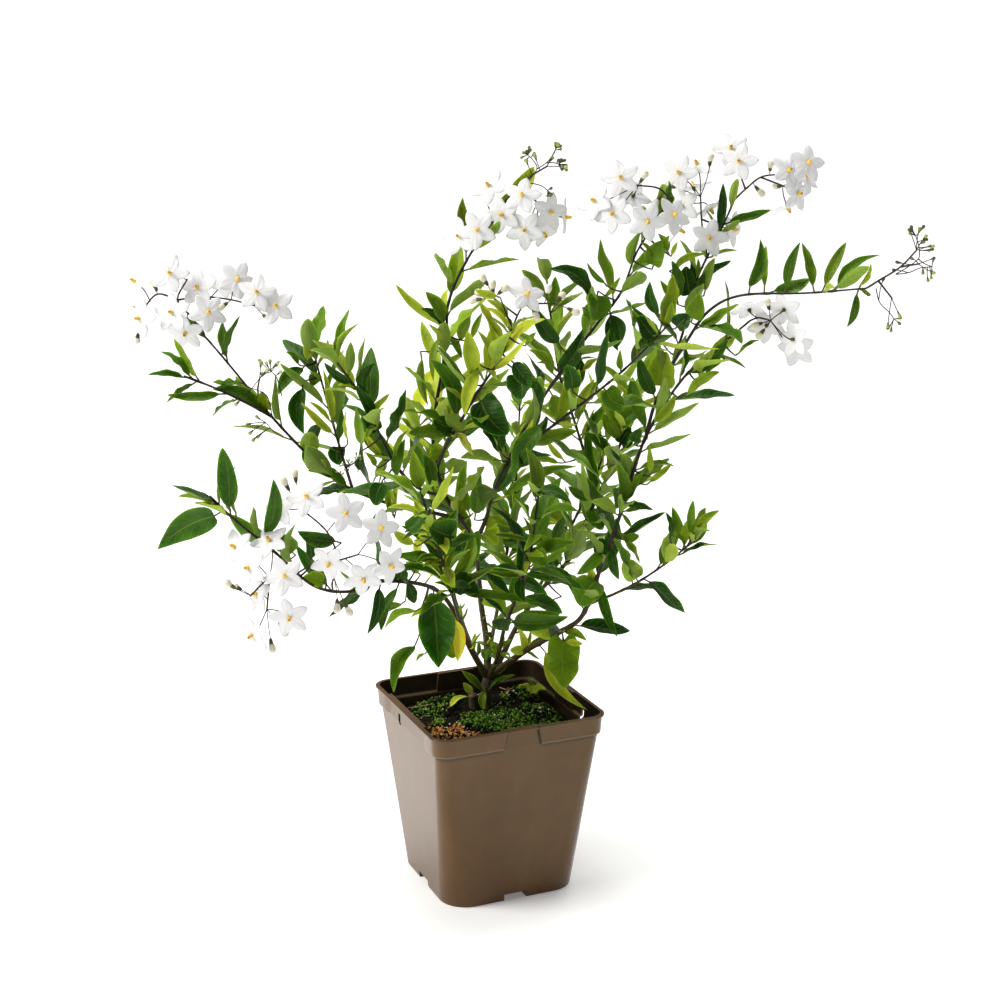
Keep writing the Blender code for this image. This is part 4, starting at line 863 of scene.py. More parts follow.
def threadShapes(rng):  # thin roots and straws that lie in low curves on the soil
    shapes, count = [], 18
    for spots in ground["threads"]:
        flat = np.array(spots, float)
        high = groundAt(*flat.T) + rng.uniform(0.4, 2.4, len(flat))
        line = Route(np.concatenate([flat, high[:, None]], 1), False)
        path = line.point(np.linspace(0, line.length, count))
        path[:, 2] = np.maximum(path[:, 2], groundAt(path[:, 0], path[:, 1]) + 0.2)
        wide = np.full((1, count), rng.uniform(0.3, 0.5))
        shapes.append(tubes(path[None], wide, 6, tone=np.full((1, count), rng.rand())))
    return shapes


rng = np.random.RandomState(ground["seed"])
piece("mossTufts", [mossTufts(ground["moss"], rng)], mossGreen, "soil")
piece("gritGrains", [pebbles(ground["grit"], rng)], gritTan, "soil")
piece("paleSpecks", [pebbles(ground["specks"], rng)], speckPale, "soil")
piece("peatCrumbs", [pebbles(ground["crumbs"], rng)], peatDark, "soil")
piece("rootThreads", threadShapes(rng), strawPale, "soil")
print("moss, grit and threads made")


# Canes: each leafy stem with what it grows from, the length hidden there as its stub, its route, radii, bare
# share, number and length of leaves, and in reach the leaves set singly, in mm
usualCane = dict(stub=8, reach=())
canes = {
    "cane_low_left": dict(
        growsFrom="woody_base", stub=24,
        route=((0, 28, 138), (-13, 15, 167), (-20, 5, 189), (-30, -10, 212), (-43, -30, 227), (-70, -60, 239),
               (-90, -80, 238), (-112, -95, 247), (-134, -108, 273), (-156, -116, 295), (-172, -120, 313)),
        radius=(2.3, 1.0), bare=0.3, leaves=11, leaf=42,
        reach=(((-41, -24, 214), (-33, -50, 176), 24), ((-23, 2, 196), (-21, -16, 168), 9),
               ((-43, -30, 222), (-64, -62, 172), 12), ((-172, -120, 310), (-207, -132, 281), 17),
               ((-157, -117, 301), (-162, -126, 344), 11), ((-139, -111, 280), (-132, -120, 324), 12),
               ((-117, -98, 255), (-135, -112, 287), 9), ((-70, -60, 239), (-79, -80, 209), 12),
               ((-58, -48, 234), (-71, -66, 207), 11)),
    ),
    "cane_centre": dict(
        growsFrom="woody_base", stub=20,
        route=((0, 28, 139), (-1, 38, 163), (-5, 45, 190), (-9, 32, 238), (-20, 15, 263), (-30, 6, 282),
               (-36, 8, 306), (-37, 12, 330), (-28, 10, 386), (-26, 4, 415), (-14, -5, 444), (4, -10, 472),
               (13, -12, 486)),
        radius=(2.6, 1.0), bare=0.2, leaves=26, leaf=52,
    ),
    "cane_right_main": dict(
        growsFrom="woody_base", stub=20,
        route=((0, 28, 138), (14, 26, 150), (30, 14, 166), (51, 0, 183), (66, -10, 198), (76, -20, 230),
               (89, -30, 273), (97, -32, 303), (108, -32, 335), (130, -30, 370), (154, -26, 391),
               (174, -25, 408)),
        radius=(2.4, 1.0), bare=0.12, leaves=20, leaf=48,
        reach=(((48, 2, 182), (52, -24, 150), 21), ((37, 10, 170), (70, -30, 142), 13),
               ((76, -20, 229), (101, -34, 196), 11), ((101, -32, 308), (124, -36, 316), 8),
               ((91, -31, 284), (111, -38, 285), 8)),
    ),
    "cane_mid_right": dict(
        growsFrom="woody_base", stub=26,
        route=((0, 28, 138), (10, 40, 150), (22, 50, 172), (40, 58, 197), (62, 60, 222), (72, 58, 250),
               (90, 50, 294), (102, 42, 334), (108, 40, 356)),
        radius=(2.3, 1.0), bare=0.18, leaves=20, leaf=50,
    ),
    "cane_back_centre": dict(
        growsFrom="woody_base", stub=24,
        route=((0, 28, 139), (2, 48, 156), (10, 88, 190), (20, 122, 250), (24, 140, 318)),
        radius=(2.0, 1.0), bare=0.2, leaves=14, leaf=50,
    ),
    "cane_back_left": dict(
        growsFrom="woody_base", stub=24,
        route=((0, 28, 138), (-12, 46, 156), (-28, 84, 192), (-44, 116, 252), (-54, 132, 312)),
        radius=(2.0, 1.0), bare=0.2, leaves=14, leaf=50,
    ),
    "cane_front": dict(
        growsFrom="woody_base", stub=22,
        route=((0, 28, 138), (7, 10, 160), (12, -12, 190), (21, -38, 224), (29, -68, 262), (34, -94, 312)),
        radius=(2.0, 1.0), bare=0.2, leaves=14, leaf=48,
        reach=(((13, -15, 194), (52, -42, 212), 16),),
    ),
    "cane_front_left": dict(
        growsFrom="cane_low_left",
        route=((-19, 6, 187), (-24, -34, 222), (-31, -70, 263), (-42, -98, 312)),
        radius=(1.5, 1.0), bare=0.2, leaves=12, leaf=48,
        reach=(((-24, -36, 224), (36, -66, 230), 13),),
    ),
    "cane_left_long": dict(
        growsFrom="cane_centre",
        route=((-19, 16, 261), (-40, 2, 270), (-67, -6, 278), (-94, -10, 290), (-113, -13, 305),
               (-145, -18, 342), (-170, -22, 376), (-190, -25, 402)),
        radius=(1.7, 0.9), bare=0.1, leaves=11, leaf=44,
        reach=(((-176, -23, 384), (-167, -28, 411), 9), ((-168, -22, 372), (-186, -32, 392), 10),
               ((-127, -15, 322), (-150, -28, 343), 13)),
    ),
    "cane_left_mid": dict(
        growsFrom="cane_centre",
        route=((-29, 7, 279), (-46, -18, 292), (-60, -38, 312), (-70, -54, 338), (-80, -64, 364),
               (-98, -70, 392)),
        radius=(1.5, 0.9), bare=0.1, leaves=13, leaf=46,
        reach=(((-97, -70, 390), (-89, -74, 422), 9),),
    ),
    "cane_left_back": dict(
        growsFrom="cane_left_long",
        route=((-92, -10, 289), (-102, 10, 314), (-112, 24, 346), (-122, 32, 382)),
        radius=(1.3, 0.9), bare=0.12, leaves=8, leaf=46,
    ),
    "cane_left_shoot": dict(
        growsFrom="cane_left_long",
        route=((-145, -18, 342), (-160, -38, 356), (-178, -50, 368), (-196, -57, 377)),
        radius=(1.2, 0.9), bare=0.1, leaves=2, leaf=38,
        reach=(((-193, -56, 376), (-218, -64, 380), 8), ((-190, -55, 375), (-207, -60, 395), 8),
               ((-188, -54, 373), (-207, -64, 362), 8)),
    ),
    "cane_mid_up": dict(
        growsFrom="cane_centre",
        route=((-35, 8, 300), (-27, -12, 322), (-17, -30, 342), (-6, -42, 363), (8, -50, 386),
               (17, -53, 408)),
        radius=(1.5, 0.9), bare=0.1, leaves=13, leaf=48,
    ),
    "cane_right_diag": dict(
        growsFrom="cane_centre",
        route=((-9, 32, 238), (-1, 18, 261), (4, 0, 283), (14, -18, 310), (26, -33, 325), (48, -50, 346),
               (86, -72, 382), (114, -88, 415)),
        radius=(1.8, 0.9), bare=0.12, leaves=17, leaf=52,
    ),
    "cane_tall_mid": dict(
        growsFrom="cane_right_diag",
        route=((13, -17, 308), (24, -6, 328), (35, -3, 347), (53, -3, 374), (73, -4, 401), (90, -8, 425),
               (100, -12, 453), (118, -18, 481)),
        radius=(1.5, 0.9), bare=0.1, leaves=15, leaf=46,
    ),
    "cane_right_low": dict(
        growsFrom="cane_right_main",
        route=((70, -14, 208), (88, -27, 220), (104, -39, 233), (122, -50, 250), (138, -58, 267)),
        radius=(1.3, 0.9), bare=0.15, leaves=7, leaf=38,
        reach=(((132, -55, 261), (124, -52, 288), 9), ((136, -57, 265), (136, -62, 294), 9),
               ((137, -57.5, 266), (151, -60, 288), 9)),
    ),
    "cane_right_top": dict(
        growsFrom="cane_right_main",
        route=((106, -32, 330), (113, -14, 349), (124, 4, 368), (134, 15, 394), (143, 20, 429),
               (158, 20, 462), (167, 20, 483)),
        radius=(1.5, 0.9), bare=0.1, leaves=9, leaf=40,
        reach=(((159, 20, 466), (190, 14, 479), 9), ((157, 20, 460), (158, 10, 492), 9),
               ((142, 20, 427), (164, 14, 444), 9)),
    ),
    "cane_right_long": dict(
        growsFrom="cane_right_top",
        route=((124, 5, 369), (133, -13, 391), (146, -29, 415), (166, -40, 427), (205, -58, 431),
               (240, -72, 436)),
        radius=(1.4, 0.8), bare=0.1, leaves=3, leaf=38,
        reach=(((170, -42, 427), (175, -46, 463), 12), ((180, -46, 428), (177, -38, 466), 8),
               ((192, -52, 429), (199, -57, 463), 10), ((210, -60, 431), (202, -54, 463), 10),
               ((214, -61, 432), (225, -67, 464), 10), ((220, -64, 433), (243, -72, 460), 10),
               ((231, -68, 435), (252, -78, 447), 8), ((236, -70, 435), (228, -76, 413), 7),
               ((196, -54, 430), (222, -72, 430), 9)),
    ),
    "cane_mid_top": dict(
        growsFrom="cane_mid_right",
        route=((77, 56, 263), (72, 63, 290), (60, 69, 328), (52, 73, 352), (45, 76, 396), (42, 74, 424)),
        radius=(1.4, 0.9), bare=0.1, leaves=13, leaf=50,
    ),
    "cane_back_right": dict(
        growsFrom="cane_mid_right",
        route=((30, 54, 184), (46, 84, 206), (66, 112, 236), (86, 130, 276), (98, 140, 326)),
        radius=(1.6, 1.0), bare=0.15, leaves=13, leaf=50,
    ),
}
canes = {name: {**usualCane, **cane} for name, cane in canes.items()}


# Stems
def stemShape(name, route, radius, feet, sides=8, step=3.5, start=0.0):
    # A tube along the route, thinning by the 0.6th power of the way, with a swelling at each leaf or side
    # stem; the ones from the trunk are thicker there
    s = np.linspace(start, route.length, max(4, round((route.length - start) / step)))
    wide = radius[0] + (0.66 * radius[1] - radius[0]) * (s / route.length) ** 0.6
    wide = wide * (1 + 0.28 * ease(radius[0], 1.9, 2.1) * np.exp(-s / 45))
    for foot in feet:
        wide = wide * (1 + 0.28 * np.exp(-(((s - foot) / 1.8) ** 2)))
    rng = np.random.RandomState(len(name) * 7 + int(route.length))
    wide = wide * (1 + 0.05 * (rng.rand(len(s)) - 0.5))
    young = ease(route.point(s)[:, 2], 130, 360) * 0.55 + 0.45 * (s / route.length)
    return tubes(route.point(s)[None], wide[None], sides, young=young[None])


routes = {name: Route(cane["route"]) for name, cane in canes.items()}


# Sprays: the stem each ends, or leaves sideways at its foot, its stalk, depth, open flowers and buds, in mm
usualSpray = dict(foot=None, faces=(0.1, -0.9, 0.3), arms=(), flowers=())
sprays = {
    "spray_upper_left": dict(
        growsFrom="cane_left_long", depth=-27, faces=(-0.1, -0.9, 0.3),
        stalk=((-194, -26, 410), (-203, -27, 422), (-196, -27, 436)),
        arms=(((-203, -27, 422), (-216, -28, 426), (-226, -28, 416)),
              ((-203, -27, 422), (-188, -25, 424), (-168, -26, 422), (-152, -27, 418))),
        flowers=((-199, 400), (-206, 415), (-190, 430), (-176, 430), (-207, 440), (-232, 433), (-150, 428),
                 (-138, 419), (-228, 411), (-182, 415), (-163, 436)),
        buds=((-238, 416), (-233, 392), (-226, 387), (-203, 384), (-171, 420), (-141, 408), (-219, 432)),
    ),
    "spray_low_left_near": dict(
        growsFrom="cane_low_left", foot=(-100, -87, 241), depth=-116, faces=(0.2, -0.95, 0.2),
        stalk=((-99, -98, 250), (-94, -110, 268), (-100, -114, 288), (-116, -116, 304)),
        arms=(((-94, -110, 268), (-80, -116, 274)),),
        flowers=((-112, 312), (-130, 302), (-87, 303), (-66, 291), (-99, 268), (-60, 268), (-78, 256)),
        buds=((-128, 323), (-121, 326), (-86, 231), (-95, 235)),
    ),
    "spray_low_left_far": dict(
        growsFrom="cane_low_left", foot=(-118, -98, 252), depth=-128, faces=(-0.3, -0.9, 0.1),
        stalk=((-124, -108, 256), (-136, -122, 260), (-148, -128, 250)),
        arms=(((-136, -122, 260), (-138, -126, 240)),),
        flowers=((-125, 266), (-148, 270), (-145, 249), (-158, 280), (-147, 226), (-123, 238), (-136, 284)),
        buds=((-126, 222), (-134, 214), (-164, 260), (-160, 254)),
    ),
    "spray_top_middle": dict(
        growsFrom="cane_centre", depth=-14,
        stalk=((20, -13, 494), (30, -14, 502), (40, -14, 508)),
        arms=(((20, -13, 494), (14, -14, 482), (0, -14, 474)), ((20, -13, 494), (34, -14, 484))),
        flowers=((1, 495), (23, 490), (10, 477), (25, 467), (42, 478), (53, 472), (-18, 463), (-6, 468),
                 (38, 463)),
        buds=((31, 516), (42, 511), (47, 523), (53, 507), (26, 512), (54, 460)),
    ),
    "spray_middle": dict(
        growsFrom="cane_mid_up", depth=-56,
        stalk=((20, -55, 416), (24, -56, 424)),
        arms=(((20, -55, 416), (4, -56, 428)), ((24, -56, 424), (44, -56, 424))),
        flowers=((26, 430),),
        buds=((40, 437), (32, 417), (60, 417), (-11, 425), (4, 440), (-4, 443), (-7, 431), (47, 427),
              (14, 436)),
    ),
    "spray_top_right": dict(
        growsFrom="cane_tall_mid", depth=-20,
        stalk=((119, -18, 487), (112, -19, 494), (98, -20, 496)),
        arms=(((119, -18, 487), (122, -20, 478)),),
        flowers=((70, 486), (96, 488), (87, 501), (82, 478), (122, 477), (128, 466), (104, 474)),
        buds=((77, 494), (101, 500), (110, 484)),
    ),
    "spray_top_right_high": dict(
        growsFrom="cane_right_top", foot=(150, 20, 445), depth=22, faces=(-0.1, -0.9, 0.3),
        stalk=((147, 19, 456), (145, 20, 470), (144, 21, 486)),
        arms=(((145, 20, 470), (155, 22, 466)),),
        flowers=((129, 501), (142, 506), (141, 490), (152, 476), (150, 458), (168, 462), (132, 479)),
        buds=((121, 492), (150, 514)),
    ),
    "spray_right": dict(
        growsFrom="cane_right_top", depth=20, faces=(0.2, -0.9, 0.3),
        stalk=((174, 20, 490), (184, 20, 498), (196, 20, 500)),
        arms=(((174, 20, 490), (170, 20, 500)), ((184, 20, 498), (200, 20, 492))),
        flowers=((164, 521), (168, 509), (216, 498), (210, 487), (206, 476), (214, 508), (201, 503)),
        buds=((224, 510), (206, 514), (197, 492), (184, 489), (190, 506)),
    ),
    "spray_right_lower": dict(
        growsFrom="cane_right_main", depth=-26, faces=(0.3, 0.85, 0.3),
        stalk=((180, -25, 410), (188, -26, 408)),
        flowers=((197, 415), (202, 397), (186, 404), (207, 388), (172, 417)),
        buds=((179, 396), (184, 423), (174, 404)),
    ),
    "spray_far_right": dict(
        growsFrom="cane_right_long", depth=-76,
        stalk=((247, -74, 441), (260, -76, 450), (270, -76, 461)),
        arms=(((247, -74, 441), (256, -76, 430)), ((260, -76, 450), (272, -76, 452))),
        buds=((264, 474), (271, 475), (279, 463), (282, 456), (284, 446), (276, 470), (253, 412), (262, 418),
              (270, 453)),
    ),
    "spray_left_buds": dict(
        growsFrom="cane_left_long", foot=(-152, -19, 352), depth=-26,
        stalk=((-153, -22, 362), (-151, -25, 370)),
        buds=((-150, 381), (-146, 375), (-139, 379), (-168, 352), (-160, 344)),
    ),
}

sprays = {name: {**usualSpray, **spray} for name, spray in sprays.items()}

# Twigs of small green buds: depth, lines from the stem out, and bud tips, as across and up in mm
budTwigs = dict(
    spray_top_middle=dict(
        depth=-14, size=0.42, age=0.9,
        lines=(((25, 496), (28, 499), (33, 506), (31, 511), (27, 515)),
               ((33, 506), (39, 510), (44, 516), (45, 519)),
               ((39, 510), (44, 510), (47, 509)),
               ((29, 497), (36, 495), (40, 492))),
        buds=((22, 513), (25, 511), (25, 516), (26, 518), (28, 521), (29, 519), (31, 516), (45, 522), (47, 523),
              (49, 521), (49, 519), (47, 512), (49, 512), (52, 512), (50, 507), (53, 508), (50, 505), (53, 505),
              (43, 494), (42, 490), (40, 488), (42, 488))),
    spray_far_right=dict(
        depth=-74, size=0.42, age=0.88,
        lines=(((258, 445), (264, 449), (271, 455), (272, 459), (271, 464), (269, 469)),
               ((271, 455), (275, 452), (280, 450)),
               ((258, 445), (266, 446), (273, 449), (280, 450)),
               ((246, 436), (249, 427), (255, 421), (258, 417))),
        buds=((264, 474), (265, 476), (264, 471), (274, 476), (274, 465), (277, 467), (280, 463), (281, 461),
              (279, 460), (282, 456), (281, 445), (280, 442), (279, 440), (275, 445), (263, 418), (263, 413),
              (257, 408), (254, 410), (257, 453), (251, 443), (255, 448))),
    spray_left_buds_low=dict(
        depth=-12, size=0.3, age=0.62,
        lines=(((-99, 290), (-100, 295), (-100, 299)), ((-88, 302), (-88, 306), (-88, 309)),
               ((-80, 284), (-81, 287), (-80, 290)), ((-69, 293), (-70, 295), (-70, 298)),
               ((-95, 302), (-94, 305), (-94, 307))),
        buds=((-103, 303), (-99, 308), (-97, 304), (-101, 306), (-98, 301), (-100, 303), (-89, 316), (-86, 314),
              (-86, 311), (-90, 313), (-88, 313), (-84, 291), (-80, 294), (-78, 290), (-82, 288), (-81, 292),
              (-72, 300), (-68, 302), (-67, 298), (-71, 303), (-96, 311), (-92, 309), (-94, 311))),
    spray_left_buds=dict(
        depth=-24, size=0.5, age=0.55,
        lines=(((-137, 357), (-139, 366), (-140, 370), (-143, 374)),
               ((-137, 329), (-143, 333), (-148, 339)),
               ((-144, 344), (-146, 356), (-151, 360), (-159, 363))),
        buds=((-152, 382), (-151, 372), (-147, 381), (-144, 382), (-138, 381), (-138, 373), (-162, 337),
              (-160, 331), (-158, 326), (-155, 328), (-155, 344), (-167, 365), (-168, 360), (-165, 357))),
)

# Flowers
flowerLook = dict(
    seed=12, shapeSeed=9, radius=13.6, notch=0.47, thick=0.22, lift=-0.7, coneTall=5.0, coneRadius=1.32,
    coneShown=0.88, neck=5.0, columns=50, pedicel=0.37, stalk=0.66, sideStub=5.0, jointStep=6.0, shortest=6.0,
    tries=12,
)
budLook = dict(
    long=7.5, clubLong=9.6, radius=2.5, tries=8, inside=1.8,
    small=dict(spray_far_right=0.45, spray_left_buds=0.6, spray_top_middle=0.5),
)


def sprayStalks(spray):  # the stalk and arms of a spray as routes, and the joints that its pedicels start from
    parent = routes[spray["growsFrom"]]
    if spray["foot"] is None:
        end, along = parent.point(parent.length), parent.direction(parent.length)
        root = [end - along * 3, end]
    else:
        foot = parent.point(parent.nearest(turned([spray["foot"]])[0]))
        along = unit(turned([spray["stalk"][0]])[0] - foot)
        end = foot + along * flowerLook["sideStub"]
        root = [foot, end]
    stalk = [end + along * 0.3, end + along * 2, *turned(spray["stalk"])]
    arms = [turned(arm) for arm in spray["arms"]]
    joints = []
    for line in [stalk[1:], *arms]:
        for a, b in zip(line, line[1:]):
            steps = max(1, round(np.linalg.norm(b - a) / flowerLook["jointStep"]))
            joints += [a + (b - a) * k / steps for k in range(1, steps + 1)]
        joints[-1] = joints[-1] + unit(line[-2] - line[-1]) * 0.8
    return [Route([*root, *stalk[2:]], False), *(Route(arm, False) for arm in arms)], joints[1:]


def openFlowers(name, spray, joints, draw):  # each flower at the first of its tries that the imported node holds
    found = []
    across, high = np.mean(spray["flowers"] + spray["buds"], axis=0)
    mean = turned([(across, spray["depth"], high)])[0]
    faces = unit(turned([spray["faces"]])[0])
    for across, high in spray["flowers"]:
        depth = spray["depth"] + draw.uniform(-9, 9)
        turn = draw.uniform(0, 2 * math.pi)
        sway = np.array([draw.uniform(-0.3, 0.3) for _ in range(3)])
        for k in range(flowerLook["tries"]):
            place = turned([(across, depth + 6 * swing(k), high)])[0]
            facing = unit(faces + 0.4 * unit(place - mean + 0.01) + sway)
            back = place - flowerLook["neck"] * facing
            far = [joint for joint in joints if np.linalg.norm(joint - back) > flowerLook["shortest"]]
            joint = min(far or joints, key=lambda found: np.linalg.norm(found - back))
            fromJoint = unit(place - joint)
            facing = unit(facing + fromJoint * max(0, 0.35 - facing.dot(fromJoint)))
            if hasPoint(name, place + flowerLook["coneTall"] * facing):
                found.append((place, facing, turn, joint))
                break
    buds = []
    for across, high in spray["buds"]:
        away = spray["depth"] + draw.uniform(-6, 6)
        for k in range(budLook["tries"]):
            tip = turned([(across, away + 4 * swing(k), high)])[0]
            joint = min(joints, key=lambda j: np.linalg.norm(j - tip))
            tip = joint + unit(tip - joint) * max(budLook["long"] + 4, np.linalg.norm(tip - joint))
            if hasPoint(name, tip):
                buds.append((tip, joint))
                break
    return found, buds


def starAxes(facing):
    side = unit(np.cross(facing, up + 0.01))
    return side, np.cross(facing, side)


def petalShapes(place, facing, turn, rng):
    # Each star is a lens whose rim runs in from a petal's axis to the notch between petals, by the 1.1th power
    # of the angle off the axis. Its face drops by the square of the way out, creased down each petal
    look, n = flowerLook, len(place)
    side, other = starAxes(facing)
    psi = np.linspace(0, 2 * math.pi, look["columns"], endpoint=False)[None, None]
    petal = np.floor(psi / (2 * math.pi / 5)).astype(int)
    off = ((psi % (2 * math.pi / 5)) - math.pi / 5) / (math.pi / 5)
    x = np.abs(off)
    rim = look["radius"] * (1 - look["notch"] * x**1.1)
    rho = np.array([0.12, 0.45, 0.8, 0.96, 1.0, 0.95, 0.8, 0.62, 0.44, 0.26, 0.12])[None, :, None]
    through = look["thick"] * np.array([-1, -1, -1, -0.6, 0, 0.6, 1, 1, 1, 1, 1])[None, :, None]
    curl = rng.uniform(-0.9, 1.1, (n, 5))[:, petal[0, 0]][:, None]
    sway = rng.uniform(-1, 1, (n, 5))[:, petal[0, 0]][:, None]
    drop = look["lift"] * (1 + (petal % 2) * (1 - x * x))
    z = drop * rho**2 + curl * (1 - x * x) * np.clip(rho - 0.45, 0, 1) ** 2 * 2.2
    z = z + 0.55 * (x * x - 0.25) * rho * (1.1 - rho) * 2 + 0.5 * sway * off * rho**3 * (1 - x * x)
    phase = rng.uniform(0, 6.28, (n, 1, 1))
    z = z + 0.22 * np.sin(11 * psi + phase) * rho**3 + through
    spoke = spokes(psi + turn[:, None, None], side, other)
    rings = place[:, None, None] + spoke * (rho * rim)[..., None] + z[..., None] * facing[:, None, None]
    ends = place - look["thick"] * facing, place + look["thick"] * facing
    return lofted(rings, *ends, across=off, along=rho)


def coneShapes(place, facing, rng):  # a blunt cone with five furrows, on the star's axis
    side, other = starAxes(facing)
    psi = np.linspace(0, 2 * math.pi, 20, endpoint=False)[None, None]
    rise = np.array([0.0, 0.12, 0.35, 0.6, 0.82, 0.94])[None, :, None]
    wide = flowerLook["coneRadius"] * np.array([0.85, 1.0, 1.0, 0.88, 0.66, 0.42])[None, :, None]
    wide = wide * (1 + 0.12 * np.abs(np.cos(2.5 * psi)) - 0.08)
    spoke = spokes(psi, side, other)
    high = flowerLook["coneTall"] * flowerLook["coneShown"]
    tall = rise * (high - 0.2) + 0.15
    rings = place[:, None, None] + spoke * wide[..., None] + tall[..., None] * facing[:, None, None]
    tone = rng.uniform(-0.3, 1, (len(place), 1, 1)).clip(0, 1)
    return lofted(rings, place + 0.1 * facing, place + high * facing, along=rise, tone=tone)


def curved(starts, first, second, ends, count):  # cubic curves from starts to ends, pulled by two points
    t = np.linspace(0, 1, count)[None, :, None]
    starts, first, second, ends = (p[:, None] for p in (starts, first, second, ends))
    return (1 - t)**3 * starts + 3 * t * (1 - t)**2 * first + 3 * t * t * (1 - t) * second + t**3 * ends


def pedicelShapes(place, facing, joint, rng):  # a thin stalk that turns up behind the flower into a small cup
    span = np.linalg.norm(place - joint, axis=1, keepdims=True)
    behind = place - facing * np.maximum(flowerLook["neck"], 0.4 * span)
    first = joint + 0.45 * (behind - joint) + up * 0.06 * span
    count = 16
    path = curved(joint, first, behind, place - 0.35 * facing, count)
    near = np.linspace(0, 1, count)[None]
    to = span * (1 - near)
    wide = flowerLook["pedicel"] * (1 + 0.25 * near) + 1.25 * np.exp(-((to - 0.8) / 1.3) ** 2) * near**4
    tone = np.repeat(rng.uniform(0, 1, (len(place), 1)), count, 1)
    return tubes(path, wide, 8, along=ease(to, 3.2, 0.9), tone=tone)


def budShapes(tips, joints, rng, size=1.0, age=0.0):
    # A club on a thin stalk: calyx at its foot, widest two thirds up, blunt at its tip
    tips = np.clip(tips, *(np.array(cadBox) / mm + [[budLook["inside"]], [-budLook["inside"]]]))
    axis = unit(tips - joints)
    span = np.linalg.norm(tips - joints, axis=1, keepdims=True)
    long = budLook["clubLong"] * size * rng.uniform(0.8, 1.0, (len(tips), 1))
    n = len(tips)
    rows = np.array([0, 0.3, 0.6, 0.85, 0.97])[None]
    shares = np.array([0.0, 0.08, 0.2, 0.33, 0.48, 0.64, 0.8, 0.92, 0.985])[None]
    foot = span - long
    at = np.concatenate([rows * foot, foot + shares * long], 1)
    shape = np.array([0.26, 0.46, 0.5, 0.58, 0.8, 1.0, 1.0, 0.78, 0.4])[None]
    thin = flowerLook["pedicel"] * 0.85
    thick = np.repeat(budLook["radius"] * size * shape, n, 0)
    wide = np.concatenate([np.full((n, rows.size), thin), thick], 1)
    bowed = joints[:, None] + axis[:, None] * at[..., None]
    bow = (np.sin(math.pi * np.clip(at / span, 0, 1)) * span * 0.05)[..., None]
    bowed = bowed + bow * unit(rng.uniform(-1, 1, (n, 1, 3)))
    cup = np.array([[0.6, 1, 1, 1.3, 1.6, 2, 2, 2, 2]])  # 0 on the stalk, to 1 on the calyx and 2 on the petals
    bloom = np.concatenate([np.zeros((n, rows.size)), np.repeat(cup, n, 0)], 1)
    young = np.clip(rng.uniform(-0.1, 0.25, (n, 1)) + age, 0, 1)
    tone = rng.uniform(0, 1, (n, 1))
    return tubes(bowed, wide, 8, along=bloom, age=np.broadcast_to(young, bloom.shape),
                 tone=np.broadcast_to(tone, bloom.shape))


def stalkShapes(lines, radius):  # stalk and arms, a little swollen at every joint
    shapes = []
    for line in lines:
        s = np.linspace(0, line.length, max(4, round(line.length / 2)))
        wide = radius * (1 - 0.2 * s / line.length) * (1 + 0.15 * np.cos(s / 6 * 2 * math.pi) ** 8)
        shapes.append(tubes(line.point(s)[None], wide[None], 8, tone=np.zeros((1, len(s)))))
    return shapes


def twigShapes(twig, rng):  # thin twigs with small buds, each bud on the nearest place of a twig
    def swayed(points):
        return turned([(across, twig["depth"] + rng.uniform(-2, 2), high) for across, high in points])

    lines = [Route(swayed(line), False) for line in twig["lines"]]
    knots = np.concatenate([line.point(np.linspace(0.35, 1, 12) * line.length) for line in lines])
    tips = swayed(twig["buds"])
    joints = knots[np.linalg.norm(knots[None] - tips[:, None], axis=2).argmin(1)]
    reach = np.linalg.norm(tips - joints, axis=1, keepdims=True)
    least = budLook["clubLong"] * twig["size"] + 0.6
    tips = joints + (tips - joints) / reach * np.maximum(reach, least)
    return [*stalkShapes(lines, flowerLook["pedicel"]), budShapes(tips, joints, rng, twig["size"], twig["age"])]


draw, rng = random.Random(flowerLook["seed"]), np.random.RandomState(flowerLook["shapeSeed"])
flowerCount = budCount = 0
flowerPlaces = []
for name, spray in sprays.items():
    word = ownWord(name)
    lines, joints = sprayStalks(spray)
    flowers, buds = openFlowers(name, spray, joints, draw)
    flowerCount, budCount = flowerCount + len(flowers), budCount + len(buds)
    shapes = stalkShapes(lines, flowerLook["stalk"])
    if flowers:
        place, facing, turn, joint = (np.array(part, float) for part in zip(*flowers))
        place[:, 2] = np.minimum(place[:, 2], cadBox[1][2] / mm - flowerLook["radius"])
        flowerPlaces += [*(place + 3 * facing), *(place + 10 * facing)]
        shapes.append(pedicelShapes(place, facing, joint, rng))
        piece("petals" + word, [petalShapes(place, facing, turn, rng)], petalWhite, "blossom", name)
        piece("anthers" + word, [coneShapes(place, facing, rng)], antherYellow, "blossom", name)
    if buds:
        tips, joint = (np.array(part, float) for part in zip(*buds))
        size = budLook["small"].get(name, 1.0)
        shapes.append(budShapes(tips, joint, rng, size, 1.4 * (1 - size)))
    for twig in (name, name + "_low"):
        if twig in budTwigs:
            shapes += twigShapes(budTwigs[twig], rng)
    piece("stalks" + word, shapes, budSkin, "blossom", name)
print("sprays made:", len(sprays), "with", flowerCount, "flowers and", budCount, "buds")


